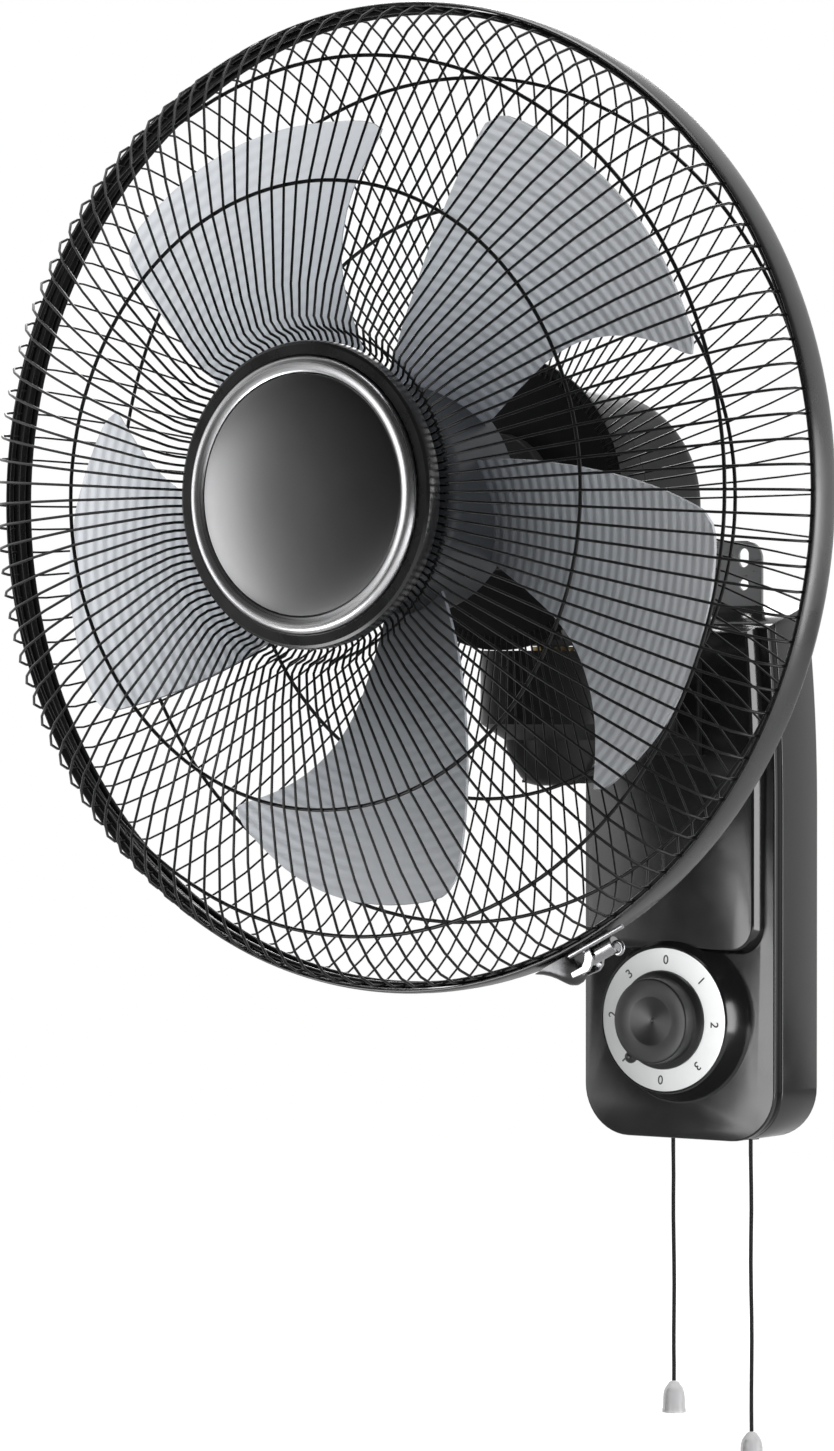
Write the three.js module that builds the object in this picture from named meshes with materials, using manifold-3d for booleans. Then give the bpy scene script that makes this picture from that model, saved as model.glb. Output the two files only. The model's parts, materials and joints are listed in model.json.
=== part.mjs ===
// A wall mounted fan: a case on the wall, a tilting neck, a swinging motor head and a round wire guard.
// Millimetres. +Z is up, the wall is the plane Y = 0, the fan blows towards -Y and +X is to the right.
import * as THREE from 'three';
import { mergeVertices } from 'three/addons/utils/BufferGeometryUtils.js';
import Module from 'manifold-3d';

const wasm = await Module();
wasm.setup();

// Clearances
const seat = 0.3; // between pieces that touch
const reach = 1; // how far a cutter runs past the face that it cuts

// Wall plate
const plateWidth = 42;
const plateThickness = 1.6;
const plateBottom = -80;
const tabRise = 30; // above the top of the case
const tabRadius = 9;
const plateHoleSpacing = 22;
const plateHoleDrop = 8; // from the top of the tab to the upper holes
const plateHolePitch = 12.7;
const plateHoleRadius = 2.8;
const plateSlotLength = 9;

// Case
const caseWidth = 105;
const caseBottom = -125;
const caseTop = 126;
const caseCornerRadius = 24;
const caseTopRadius = 6;
const caseTopInset = 5;
const caseTaperStart = 30;
const caseTopFall = 13.3; // how far the top slopes down from the wall to the panel
const shellWall = 2.2;
const housingDepth = 34.5; // from the wall to the seam
const coverRise = 7; // from the seam to the cover's face
const panelRise = 7.5; // from the cover's face to the panel's
const panelSide = 5.5; // the cover's margin beside the panel
const panelBottom = -37.6;
const panelRadius = 13;
const bossRise = 13.5; // from the cover's face to the dial boss's
const bossRadius = 36.4;
const bossDraft = 1.6;
const bossFront = 3;
const dialHeight = -68.5;

// Posts and screws that hold the cover to the housing
const postRadius = 5;
const screwRadius = 1.8;
const screwHeadRadius = 3.2;
const screwHeadHeight = 2;
const postFloor = 2.4;
const postPlaces = [[-40, -94], [40, -94], [-38, 86], [38, 86]];

// Dial, knob and switch
const dialRadius = 33.5;
const dialInnerRadius = 9;
const dialThickness = 0.9;
const dialRecess = 1.2;
const knobBaseRadius = 23.2;
const knobSkirt = 2;
const knobRadius = 20;
const knobHeight = 11;
const knobDishRadius = 12.5;
const knobDishDepth = 1.9;
const pointerRadius = 3;
const pointerDistance = 23.6;
const pointerAngle = THREE.MathUtils.degToRad(-131);
const spindleRadius = 3;
const spindleInKnob = 5.5;
const spindleInSwitch = 6;
const switchWidth = 34;
const switchDepth = 13;

// Pull cords
const cordSpacing = 43.2;
const cordFromWall = 12;
const cordDiameter = 1.9;
const pullTravel = 12;
const eyeletRadius = 2.7;
const eyeletBore = 1.5;
const eyeletFlange = 4;
const eyeletFlangeThickness = 1;
const stemRadius = 2.5;
const stemBottom = -108;
const stemLength = 24;
const pullSwitchWidth = 16;
const pullSwitchHeight = 30;
const pullSwitchInset = 6; // how far the stem stands out of its switch
const bellRadius = 5.6;
const bellNeckRadius = 2.4;
const bellHeight = 14.7;
const cordSides = 8;
// How far the middle of each cord lies from its exit, to the right, and its height.
const speedCordPoints = [
  [0, -108.3], [0, -112], [0, -116], [0, -120], [0, -124], [0, -128], [0, -132], [0.1, -138],
  [0.2, -146], [0.1, -155], [0.1, -165], [0.3, -176], [0.5, -187], [0.6, -198], [0.5, -209],
  [0.4, -219], [0.4, -228], [0.5, -236], [0.5, -243.6],
];
const swingCordPoints = [
  [0, -108.3], [0, -112], [0, -116], [0, -120], [0, -124], [0, -128], [0, -132], [0.1, -139],
  [0.3, -149], [0.4, -160], [0.2, -172], [0.1, -185], [0.3, -198], [0.6, -210], [0.7, -222],
  [0.6, -234], [0.5, -245], [0.5, -255], [0.6, -264.4],
];

// Inside the case
const capacitorSize = [36, 22, 30];
const capacitorHeight = 32;
const terminalSize = [30, 13, 12];
const terminalHeight = -34;
const grommetRadius = 5;
const grommetBore = 2.6;

// Tilt hinge
const pivotFromWall = 85;
const pivotDrop = 93.1; // from the fan's axis down to the hinge
const tongueWidth = 13;
const tongueRadius = 13;
const bracketWidth = 36;
const bracketHeight = 44;
const bracketThickness = 4;
const boltRadius = 4;
const boltHeadRadius = 7.5;
const boltHeadHeight = 4.5;

// Neck
const swivelFromWall = 148;
const armWidth = 34;
const earRadius = 15;
const neckRadius = 33;
const neckLength = 61;
const neckFloorRadius = 8; // of the flat under the neck
const neckBowl = 28; // the height over which the neck rounds off to that flat
const swivelBoreDepth = 40;
const bushRadius = 9.7;
const bushWall = 2.3;
const bushFlangeThickness = 1.5;
const postGap = 2; // under the post, in the neck's bore

// Swing drive
const driveRoom = 14.1; // from the neck's top up to the motor
const linkPinPlace = [26, 4]; // from the swivel axis
const linkPinRadius = 2.5;
const linkEyeRadius = 6.5;
const linkWidth = 8;
const linkThickness = 3.7;
const crankPlace = [-14, 37]; // from the swivel axis
const crankThrow = 12;
const crankRadius = 16;
const crankThickness = 3;
const crankPinRadius = 2.5;
const crankSpindleRadius = 3;
const wheelThickness = 6;

// Motor, measured forward from the plane of the rim
const ringFromWall = 268;
const axisHeight = 170.1;
const motorRadius = 52;
const motorWall = 2.2;
const motorFront = -79;
const motorSplit = -117.6;
const motorRear = -175;
const motorRearRound = 12;
const noseRadius = 19;
const noseLength = 11;
const shaftRadius = 4;
const shaftRear = -164;
const shaftFront = 44;
const bearingRadius = 11;
const bearingWidth = 8;
const bearingHubWall = 2.7;
const statorInner = 26;
const statorLength = 40;
const statorMiddle = -116;
const endshieldThickness = 3;
const endshieldRear = -145;
const gearCaseWidth = 40;
const gearCaseHeight = 34;
const gearCaseDepth = 24;
const gearCaseWall = 2;

// Rotor
const hubRadius = 50;
const hubWall = 2.4;
const hubBack = -16;
const hubFront = 30;
const hubBoss = 10;
const hubBossLength = 24;
const bladeCount = 5;
const bladeRadius = 176;
const bladeThickness = 2;
const bladeRoot = -5; // how far forward the blade's middle line starts at the hub
const bladeRake = 20.5; // how much further forward that line is at the tip
const bladePitch = 22; // forward travel across one radian of blade
const bladeStart = THREE.MathUtils.degToRad(49);
const bladeNutRadius = 14;
const bladeNutLength = 15;

// Guards, as [radius, forward] from the plane of the rim
const wireSize = 2;
const guardWires = 20;
const rimSegments = 60;
const bandRadius = 215.3;
const bandThickness = 2;
const bandWidth = 17;
const rimWireSize = 3;
const rimWireForward = 4.2;
const frontProfile = [[73, 72], [90, 71.5], [134, 63], [189, 39], [206, 22]];
const frontFoot = [[68, 61]]; // where the wires pass under the badge's edge
const frontRings = [[134, 63], [189, 39]];
const rearProfile = [[98, -71.5], [132, -64], [186, -42], [205, -22]];
const rearRings = [[132, -64], [186, -42]];
const guardRingInner = 60;
const rearPlateRadius = 66;
const rearPlateThickness = 2;
const guardNutRadius = 31;
const guardNutThickness = 7;

// Badge in the middle of the front guard
const badgeBack = 63.2;
const badgeBaseRadius = 65.7;
const badgeBaseFront = 72;
const badgeRingRadius = 59.1;
const badgeRingInner = 52;
const badgeRingFront = 74.8;
const badgeDiscFront = 77.6;
const badgeFloor = 67;

// Latch on the rim
const latchAngle = THREE.MathUtils.degToRad(-63);
const latchSpread = THREE.MathUtils.degToRad(5.2);
const latchHeight = 5.5;
const latchWidth = 15;
const latchScrewRadius = 2.6;
const latchScrewLength = 30;

// Places that follow from the sizes above, as Y from the wall's plane
const housingBack = -(plateThickness + seat);
const housingInside = housingBack - shellWall;
const seam = -housingDepth;
const coverBack = seam - seat;
const coverFace = seam - coverRise;
const panelFace = coverFace - panelRise;
const bossFace = coverFace - bossRise;
const topFallRate = caseTopFall / -panelFace;

// Heights that follow from the fan's axis
const pivotHeight = axisHeight - pivotDrop;
const neckTop = axisHeight - motorRadius - driveRoom;
const neckBottom = neckTop - neckLength;

// ---- Shapes ----

function solidOf(geometry) {
  const bare = geometry.index ? geometry.toNonIndexed() : geometry.clone();
  bare.deleteAttribute('normal');
  bare.deleteAttribute('uv');
  const merged = mergeVertices(bare, 1e-4);
  return new wasm.Manifold(new wasm.Mesh({
    numProp: 3,
    vertProperties: new Float32Array(merged.attributes.position.array),
    triVerts: new Uint32Array(merged.index.array),
  }));
}

function geometryOf(solid) {
  const mesh = solid.getMesh();
  const geometry = new THREE.BufferGeometry();
  geometry.setAttribute('position', new THREE.BufferAttribute(mesh.vertProperties, 3));
  geometry.setIndex(new THREE.BufferAttribute(mesh.triVerts, 1));
  return geometry;
}

function join(...solids) {
  return solids.reduce((sum, solid) => sum.add(solid));
}

function cut(solid, ...cutters) {
  return cutters.reduce((rest, cutter) => rest.subtract(cutter), solid);
}

function box(lowX, highX, lowY, highY, lowZ, highZ) {
  const geometry = new THREE.BoxGeometry(highX - lowX, highY - lowY, highZ - lowZ);
  geometry.translate((lowX + highX) / 2, (lowY + highY) / 2, (lowZ + highZ) / 2);
  return solidOf(geometry);
}

// A shape drawn in X and Z, from the plane Y = back to the plane Y = front.
function slab(shape, back, front, curveSegments = 6) {
  const geometry = new THREE.ExtrudeGeometry(shape, {
    depth: back - front, bevelEnabled: false, curveSegments,
  });
  geometry.rotateX(Math.PI / 2);
  geometry.translate(0, back, 0);
  return solidOf(geometry);
}

// A shape drawn in Y and Z, from the plane X = low to the plane X = high.
function sideSlab(shape, low, high, curveSegments = 8) {
  const geometry = new THREE.ExtrudeGeometry(shape, {
    depth: high - low, bevelEnabled: false, curveSegments,
  });
  const turn = new THREE.Matrix4().makeBasis(
    new THREE.Vector3(0, 1, 0), new THREE.Vector3(0, 0, 1), new THREE.Vector3(1, 0, 0));
  geometry.applyMatrix4(turn);
  geometry.translate(low, 0, 0);
  return solidOf(geometry);
}

function lathe(profile, segments) {
  const points = profile.map(([radius, along]) => new THREE.Vector2(radius, along));
  return new THREE.LatheGeometry(points, segments);
}

// A round piece about the fan's axis. The profile is [radius, forward], and it closes on itself or on
// the axis; it runs backwards along the axis on the outside, so that its faces point outwards.
function turned(profile, segments = 24) {
  const geometry = lathe(profile.map(([radius, forward]) => [radius, -forward]), segments);
  return facingOut(geometry);
}

// A round piece about a vertical axis, with its profile as [radius, height].
function upright(profile, segments = 20) {
  const geometry = lathe(profile, segments);
  geometry.rotateX(Math.PI / 2);
  return facingOut(geometry);
}

function volumeOf(geometry) {
  const at = geometry.attributes.position;
  const index = geometry.index;
  const corners = [new THREE.Vector3(), new THREE.Vector3(), new THREE.Vector3()];
  let sum = 0;
  for (let i = 0; i < index.count; i += 3) {
    corners.forEach((corner, k) => corner.fromBufferAttribute(at, index.getX(i + k)));
    sum += corners[0].dot(corners[1].cross(corners[2]));
  }
  return sum;
}

function facingOut(geometry) {
  if (volumeOf(geometry) < 0) {
    const index = geometry.index;
    for (let i = 0; i < index.count; i += 3) {
      const first = index.getX(i);
      index.setX(i, index.getX(i + 1));
      index.setX(i + 1, first);
    }
  }
  return solidOf(geometry);
}

function disc(radius, back, front, segments = 16) {
  return turned([[0, back], [radius, back], [radius, front], [0, front]], segments);
}

function ring(inner, outer, back, front, segments = 24) {
  return turned([[inner, back], [outer, back], [outer, front], [inner, front], [inner, back]], segments);
}

function post(radius, low, high, segments = 14) {
  return upright([[0, low], [radius, low], [radius, high], [0, high]], segments);
}

function collar(inner, outer, low, high, segments = 20) {
  return upright([[inner, low], [outer, low], [outer, high], [inner, high], [inner, low]], segments);
}

// A straight round bar along X.
function crossBar(radius, low, high, segments = 16) {
  const geometry = new THREE.CylinderGeometry(radius, radius, high - low, segments);
  geometry.rotateZ(Math.PI / 2);
  geometry.translate((low + high) / 2, 0, 0);
  return solidOf(geometry);
}

// ---- The scene graph ----

const fan = new THREE.Group();
const head = new THREE.Group(); // its origin is where the fan's axis meets the plane of the rim
head.position.set(0, -ringFromWall, axisHeight);
const dial = new THREE.Group(); // its origin is the middle of the dial boss's face
dial.position.set(0, bossFace, dialHeight);
const hinge = new THREE.Group(); // its origin is the middle of the tilt pin
hinge.position.set(0, -pivotFromWall, pivotHeight);
const swivel = new THREE.Group(); // its origin is where the swivel's axis meets the height 0
swivel.position.set(0, -swivelFromWall, 0);
fan.add(head, dial, hinge, swivel);

const glossBlack = { color: 0x101010, roughness: 0.25, metalness: 0 };
const mattBlack = { color: 0x1a1a1a, roughness: 0.6, metalness: 0 };
const blackWire = { color: 0x0c0c0c, roughness: 0.3, metalness: 0.2 };
const satinSilver = { color: 0xa8a9aa, roughness: 0.35, metalness: 0.9 };
const zincSteel = { color: 0x8f9193, roughness: 0.4, metalness: 0.9 };
const laminatedSteel = { color: 0x55585c, roughness: 0.5, metalness: 0.8 };
const blueTint = { color: 0x7f8c98, roughness: 0.2, metalness: 0, transparent: true, opacity: 0.8 };
const whitePlastic = { color: 0xe8e8e6, roughness: 0.4, metalness: 0 };
const brass = { color: 0xb08d4a, roughness: 0.35, metalness: 0.9 };
const blackCord = { color: 0x121212, roughness: 0.9, metalness: 0 };
const clearPlastic = { color: 0xe9ecee, roughness: 0.2, metalness: 0, transparent: true, opacity: 0.5 };

function place(name, solid, finish, group = fan, position = [0, 0, 0]) {
  const mesh = new THREE.Mesh(geometryOf(solid), new THREE.MeshStandardMaterial(finish));
  mesh.name = name;
  mesh.position.set(...position);
  group.add(mesh);
}

// ---- Case ----

function caseOutline(inset) {
  const side = caseWidth / 2 - inset;
  const topSide = side - caseTopInset;
  const bottom = caseBottom + inset;
  const top = caseTop - inset;
  const low = caseCornerRadius - inset;
  const high = Math.max(caseTopRadius - inset, 1);
  const bend = (caseTaperStart + top) / 2;
  const shape = new THREE.Shape();
  shape.moveTo(-side + low, bottom);
  shape.lineTo(side - low, bottom);
  shape.absarc(side - low, bottom + low, low, -Math.PI / 2, 0, false);
  shape.lineTo(side, caseTaperStart);
  shape.quadraticCurveTo(side, bend, topSide, top - high);
  shape.absarc(topSide - high, top - high, high, 0, Math.PI / 2, false);
  shape.lineTo(-topSide + high, top);
  shape.absarc(-topSide + high, top - high, high, Math.PI / 2, Math.PI, false);
  shape.quadraticCurveTo(-side, bend, -side, caseTaperStart);
  shape.lineTo(-side, bottom + low);
  shape.absarc(-side + low, bottom + low, low, Math.PI, 1.5 * Math.PI, false);
  return shape;
}

function panelOutline(inset) {
  const side = caseWidth / 2 - panelSide - inset;
  const topSide = side - caseTopInset;
  const bottom = panelBottom + inset;
  const low = panelRadius - inset;
  const top = caseTop - inset;
  const bend = (caseTaperStart + top) / 2;
  const shape = new THREE.Shape();
  shape.moveTo(-side + low, bottom);
  shape.lineTo(side - low, bottom);
  shape.absarc(side - low, bottom + low, low, -Math.PI / 2, 0, false);
  shape.lineTo(side, caseTaperStart);
  shape.quadraticCurveTo(side, bend, topSide, top);
  shape.lineTo(-topSide, top);
  shape.quadraticCurveTo(-side, bend, -side, caseTaperStart);
  shape.lineTo(-side, bottom + low);
  shape.absarc(-side + low, bottom + low, low, Math.PI, 1.5 * Math.PI, false);
  return shape;
}

// Everything above the sloping top of the case, or above its inner face.
function aboveCase(inset) {
  const behind = 10;
  const before = panelFace - behind;
  const high = caseTop + tabRise;
  const shape = new THREE.Shape();
  shape.moveTo(behind, caseTop - inset + behind * topFallRate);
  shape.lineTo(behind, high);
  shape.lineTo(before, high);
  shape.lineTo(before, caseTop - inset + before * topFallRate);
  return sideSlab(shape, -caseWidth, caseWidth);
}

function postAt([x, z], radius, back, front, segments = 12) {
  const geometry = new THREE.CylinderGeometry(radius, radius, back - front, segments);
  geometry.translate(x, (back + front) / 2, z);
  return solidOf(geometry);
}

function bossAt(faceRadius, back, front) {
  const draft = bossDraft * (back - front) / bossRise;
  const geometry = new THREE.CylinderGeometry(faceRadius + draft, faceRadius, back - front, 32);
  geometry.translate(0, (back + front) / 2, dialHeight);
  return solidOf(geometry);
}

function makeWallPlate() {
  const half = plateWidth / 2;
  const top = caseTop + tabRise;
  const shape = new THREE.Shape();
  shape.moveTo(-half, plateBottom);
  shape.lineTo(half, plateBottom);
  shape.lineTo(half, top - tabRadius);
  shape.absarc(half - tabRadius, top - tabRadius, tabRadius, 0, Math.PI / 2, false);
  shape.lineTo(-half + tabRadius, top);
  shape.absarc(-half + tabRadius, top - tabRadius, tabRadius, Math.PI / 2, Math.PI, false);
  const upper = top - plateHoleDrop;
  const straight = plateSlotLength / 2 - plateHoleRadius;
  for (const side of [-1, 1]) {
    const x = side * plateHoleSpacing / 2;
    const slot = new THREE.Path();
    slot.absarc(x, upper + straight, plateHoleRadius, 0, Math.PI, false);
    slot.absarc(x, upper - straight, plateHoleRadius, Math.PI, 2 * Math.PI, false);
    slot.closePath();
    const hole = new THREE.Path();
    hole.absarc(x, upper - plateHolePitch, plateHoleRadius, 0, 2 * Math.PI, false);
    shape.holes.push(slot, hole);
  }
  place('wall_plate', slab(shape, 0, -plateThickness, 6), zincSteel);
}

function cordHole(x, radius, y = -cordFromWall) {
  const hole = post(radius, caseBottom - reach, caseBottom + shellWall + reach, 16);
  return hole.translate([x, y, 0]);
}

function makeRearHousing() {
  const outer = cut(slab(caseOutline(0), housingBack, seam), aboveCase(0));
  const inner = cut(slab(caseOutline(shellWall), housingInside, seam - reach), aboveCase(shellWall));
  const posts = postPlaces.map((spot) => postAt(spot, postRadius, housingInside + reach, seam));
  const bores = postPlaces.flatMap((spot) => [
    postAt(spot, screwRadius + seat, housingBack + reach, seam - reach),
    postAt(spot, screwHeadRadius + seat, housingBack + reach, screwSeat(), 12),
  ]);
  const holes = [
    cordHole(-cordSpacing / 2, eyeletRadius + seat),
    cordHole(cordSpacing / 2, eyeletRadius + seat),
    cordHole(0, grommetRadius + seat),
  ];
  place('rear_housing', cut(join(cut(outer, inner), ...posts), ...bores, ...holes), glossBlack);
}

// Where the screws' heads bear, inside the housing's posts.
function screwSeat() {
  return seam + postFloor;
}

// The outer face of the cover in front of a post.
function coverOver([, z]) {
  return z > panelBottom ? panelFace : coverFace;
}

function makeFrontCover() {
  const lap = 0.5;
  const outer = cut(join(
    slab(caseOutline(0), coverBack, coverFace),
    slab(panelOutline(0), coverFace + lap, panelFace),
    bossAt(bossRadius, coverFace + lap, bossFace),
  ), aboveCase(0));
  const inner = cut(join(
    slab(caseOutline(shellWall), coverBack + reach, coverFace + shellWall),
    slab(panelOutline(shellWall), coverFace + shellWall + lap, panelFace + shellWall),
    bossAt(bossRadius - shellWall, coverFace + shellWall + lap, bossFace + bossFront),
  ), aboveCase(shellWall));
  const posts = postPlaces.map((spot) => postAt(spot, postRadius, coverBack, coverOver(spot) + lap));
  const bores = postPlaces.map((spot) => (
    postAt(spot, screwRadius + seat, coverBack + reach, coverFace + shellWall)
  ));
  const recess = postAt([0, dialHeight], dialRadius + seat, bossFace + dialRecess, bossFace - reach, 32);
  const hole = postAt([0, dialHeight], spindleRadius + 2 * seat, bossFace + 2 * bossFront, bossFace - reach, 14);
  place('front_cover', cut(join(cut(outer, inner), ...posts), ...bores, recess, hole), glossBlack);
}

function makeCoverScrews() {
  const headBack = screwSeat() + seat + screwHeadHeight;
  const tip = coverFace + shellWall + seat;
  postPlaces.forEach((spot, i) => {
    const shank = postAt(spot, screwRadius, screwSeat() + 2 * seat, tip);
    const cap = postAt(spot, screwHeadRadius, headBack, screwSeat() + seat, 12);
    place(`cover_screw_${i + 1}`, join(shank, cap), zincSteel);
  });
}

// ---- Dial ----

function makeDial() {
  const dialBack = -dialRecess + seat;
  const face = ring(dialInnerRadius, dialRadius, dialBack, dialBack + dialThickness, 32);
  place('dial_ring', face, whitePlastic, dial);

  const base = 2 * seat;
  const front = base + knobHeight;
  const boreEnd = base + spindleInKnob;
  const knob = turned([
    [0, boreEnd], [spindleRadius + seat, boreEnd], [spindleRadius + seat, base],
    [knobBaseRadius, base], [knobBaseRadius, base + knobSkirt], [knobRadius + 1, base + knobSkirt + 1],
    [knobRadius, front - 1.2], [knobRadius - 1.2, front], [knobDishRadius, front],
    [knobDishRadius - 1, front - 0.6], [0, front - knobDishDepth],
  ]);
  const ball = new THREE.SphereGeometry(pointerRadius, 10, 7);
  ball.translate(
    pointerDistance * Math.cos(pointerAngle),
    -(base + pointerRadius),
    pointerDistance * Math.sin(pointerAngle));
  place('speed_knob', join(knob, solidOf(ball)), glossBlack, dial);

  const switchFront = -bossFront - seat;
  const switchBack = switchFront - switchDepth;
  const half = switchWidth / 2;
  const body = box(-half, half, -switchFront, -switchBack, -half, half);
  const bore = disc(spindleRadius + seat, switchFront - spindleInSwitch - seat, switchFront + reach);
  place('speed_switch', cut(body, bore), mattBlack, dial);
  const spindle = disc(spindleRadius, switchFront - spindleInSwitch, boreEnd - seat);
  place('knob_spindle', spindle, zincSteel, dial);
}

// ---- Pull cords ----

function cordTube(x, points) {
  const path = new THREE.CatmullRomCurve3(points.map(([side, height]) => (
    new THREE.Vector3(x + side, -cordFromWall, height))));
  const section = new THREE.Shape();
  for (let i = 0; i < cordSides; i += 1) {
    const angle = (2 * Math.PI * i) / cordSides;
    const corner = [Math.cos(angle) * cordDiameter / 2, Math.sin(angle) * cordDiameter / 2];
    if (i) section.lineTo(...corner);
    else section.moveTo(...corner);
  }
  const steps = Math.round(path.getLength() / (3 * cordDiameter));
  return solidOf(new THREE.ExtrudeGeometry(section, { steps, extrudePath: path }));
}

function makePull(name, side, points) {
  const x = side * cordSpacing / 2;
  const y = -cordFromWall;
  const inner = caseBottom + shellWall;
  const eyelet = upright([
    [eyeletBore, caseBottom - seat - eyeletFlangeThickness],
    [eyeletFlange, caseBottom - seat - eyeletFlangeThickness],
    [eyeletFlange, caseBottom - seat],
    [eyeletRadius, caseBottom - seat],
    [eyeletRadius, inner + seat],
    [eyeletBore, inner + seat],
    [eyeletBore, caseBottom - seat - eyeletFlangeThickness],
  ], 16);
  place(`${name}_eyelet`, eyelet, mattBlack, fan, [x, y, 0]);
  place(`${name}_stem`, post(stemRadius, stemBottom, stemBottom + stemLength), whitePlastic, fan, [x, y, 0]);

  const low = stemBottom + pullSwitchInset;
  const back = housingInside - seat;
  const front = -cordFromWall - pullSwitchWidth / 2;
  const body = box(x - pullSwitchWidth / 2, x + pullSwitchWidth / 2, front, back, low, low + pullSwitchHeight);
  const bore = post(stemRadius + seat, low - reach, stemBottom + stemLength + seat);
  place(`${name}_pull_switch`, cut(body, bore.translate([x, y, 0])), mattBlack);

  place(`${name}_cord`, cordTube(x, points), blackCord);
  const [side2, end] = points[points.length - 1];
  const top = end - seat;
  const bell = upright([
    [0, top - bellHeight], [bellRadius - 0.5, top - bellHeight], [bellRadius, top - bellHeight + 1.5],
    [bellRadius - 0.4, top - bellHeight / 2], [bellNeckRadius + 1.2, top - 2], [bellNeckRadius, top], [0, top],
  ], 16);
  place(`${name}_bell`, bell, clearPlastic, fan, [x + side2, y, 0]);
}

// ---- Inside the case ----

function makeCaseContents() {
  const back = housingInside - seat;
  const blocks = [
    ['run_capacitor', capacitorSize, capacitorHeight, whitePlastic],
    ['terminal_block', terminalSize, terminalHeight, whitePlastic],
  ];
  for (const [name, [width, depth, height], middle, finish] of blocks) {
    const low = middle - height / 2;
    place(name, box(-width / 2, width / 2, back - depth, back, low, low + height), finish);
  }
  const inner = caseBottom + shellWall;
  place('inlet_grommet', collar(grommetBore, grommetRadius, caseBottom, inner + seat, 16), mattBlack,
    fan, [0, -cordFromWall, 0]);
}

// ---- Tilt hinge and neck ----

function makeTiltHinge() {
  const baseBack = pivotFromWall + panelFace - seat; // in the hinge's own frame, towards the wall
  const baseFront = baseBack - bracketThickness;
  const half = bracketWidth / 2;
  const tall = bracketHeight / 2;
  const profile = new THREE.Shape();
  profile.moveTo(baseFront + 1, -tongueRadius);
  profile.lineTo(baseFront + 1, tongueRadius);
  profile.lineTo(0, tongueRadius);
  profile.absarc(0, 0, tongueRadius, Math.PI / 2, 1.5 * Math.PI, false);
  const bracket = cut(join(
    box(-half, half, baseFront, baseBack, -tall, tall),
    sideSlab(profile, -tongueWidth / 2, tongueWidth / 2),
  ), crossBar(boltRadius + seat, -tongueWidth, tongueWidth));
  place('tilt_bracket', bracket, mattBlack, hinge);

  const side = armWidth / 2 + seat;
  const nutEnd = side + boltHeadHeight;
  const bolt = join(
    crossBar(boltRadius, -nutEnd - 1, side + 1),
    crossBar(boltHeadRadius, side, nutEnd, 6),
  );
  place('tilt_bolt', bolt, zincSteel, hinge);
  const nut = cut(
    crossBar(boltHeadRadius, -nutEnd, -side, 6),
    crossBar(boltRadius + seat, -nutEnd - reach, -side + reach),
  );
  place('tilt_nut', nut, zincSteel, hinge);
}

function makeNeckArm() {
  const pivotY = -pivotFromWall;
  const profile = new THREE.Shape();
  profile.moveTo(pivotY, pivotHeight + earRadius);
  profile.lineTo(-swivelFromWall, neckTop - 4);
  profile.lineTo(-swivelFromWall, neckBottom + 1);
  profile.quadraticCurveTo(-swivelFromWall + neckRadius, neckBottom + 1, pivotY, pivotHeight - earRadius);
  profile.absarc(pivotY, pivotHeight, earRadius, -Math.PI / 2, Math.PI / 2, false);
  const arm = sideSlab(profile, -armWidth / 2, armWidth / 2);
  const bowl = [];
  const bowlSteps = 6;
  for (let i = 0; i <= bowlSteps; i += 1) {
    const turn = (Math.PI / 2) * (i / bowlSteps);
    bowl.push([
      neckFloorRadius + (neckRadius - neckFloorRadius) * Math.sin(turn),
      neckBottom + neckBowl * (1 - Math.cos(turn)),
    ]);
  }
  const neck = upright([[0, neckBottom], ...bowl, [neckRadius, neckTop], [0, neckTop]], 28)
    .translate([0, -swivelFromWall, 0]);
  const [pinX, pinY] = linkPinPlace;
  const slotHalf = tongueWidth / 2 + seat;
  const slotFront = pivotY - tongueRadius - 2 * seat - 4;
  const slot = box(-slotHalf, slotHalf, slotFront, 0, 0, neckTop + reach);
  const boltBore = crossBar(boltRadius + seat, -armWidth, armWidth).translate([0, pivotY, pivotHeight]);
  const swivelBore = post(bushRadius + seat, neckTop - swivelBoreDepth, neckTop + reach, 20)
    .translate([0, -swivelFromWall, 0]);
  const pinBore = post(linkPinRadius + seat, neckTop - 12 - seat, neckTop + reach, 12)
    .translate([pinX, pinY - swivelFromWall, 0]);
  place('neck_arm', cut(join(arm, neck), slot, boltBore, swivelBore, pinBore), glossBlack);
}

function makeSwivel() {
  const bushBottom = neckTop - swivelBoreDepth + seat;
  const flangeTop = neckTop + seat + bushFlangeThickness;
  const bore = bushRadius - bushWall;
  const bush = join(
    collar(bore, bushRadius, bushBottom, flangeTop),
    collar(bore, bushRadius + seat, neckTop + seat, flangeTop),
  );
  place('swivel_bush', bush, brass, swivel);

  const shoulder = flangeTop + seat;
  const blockBottom = linkTop() + 3 * seat;
  const blockHalf = 14;
  const block = cut(
    box(-blockHalf, blockHalf, -15, 15, blockBottom, axisHeight - motorRadius / 2),
    turned([[0, -200], [motorRadius + seat, -200], [motorRadius + seat, 0], [0, 0]])
      .translate([0, swivelFromWall - ringFromWall, axisHeight]),
  );
  const bracket = join(
    post(bore - seat, bushBottom + postGap, shoulder + 1, 20),
    post(bushRadius, shoulder, blockBottom + 1, 20),
    block,
  );
  place('swivel_bracket', bracket, mattBlack, swivel);
}

// ---- Swing drive ----

function linkTop() {
  return neckTop + 2 * seat + linkThickness;
}

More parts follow.
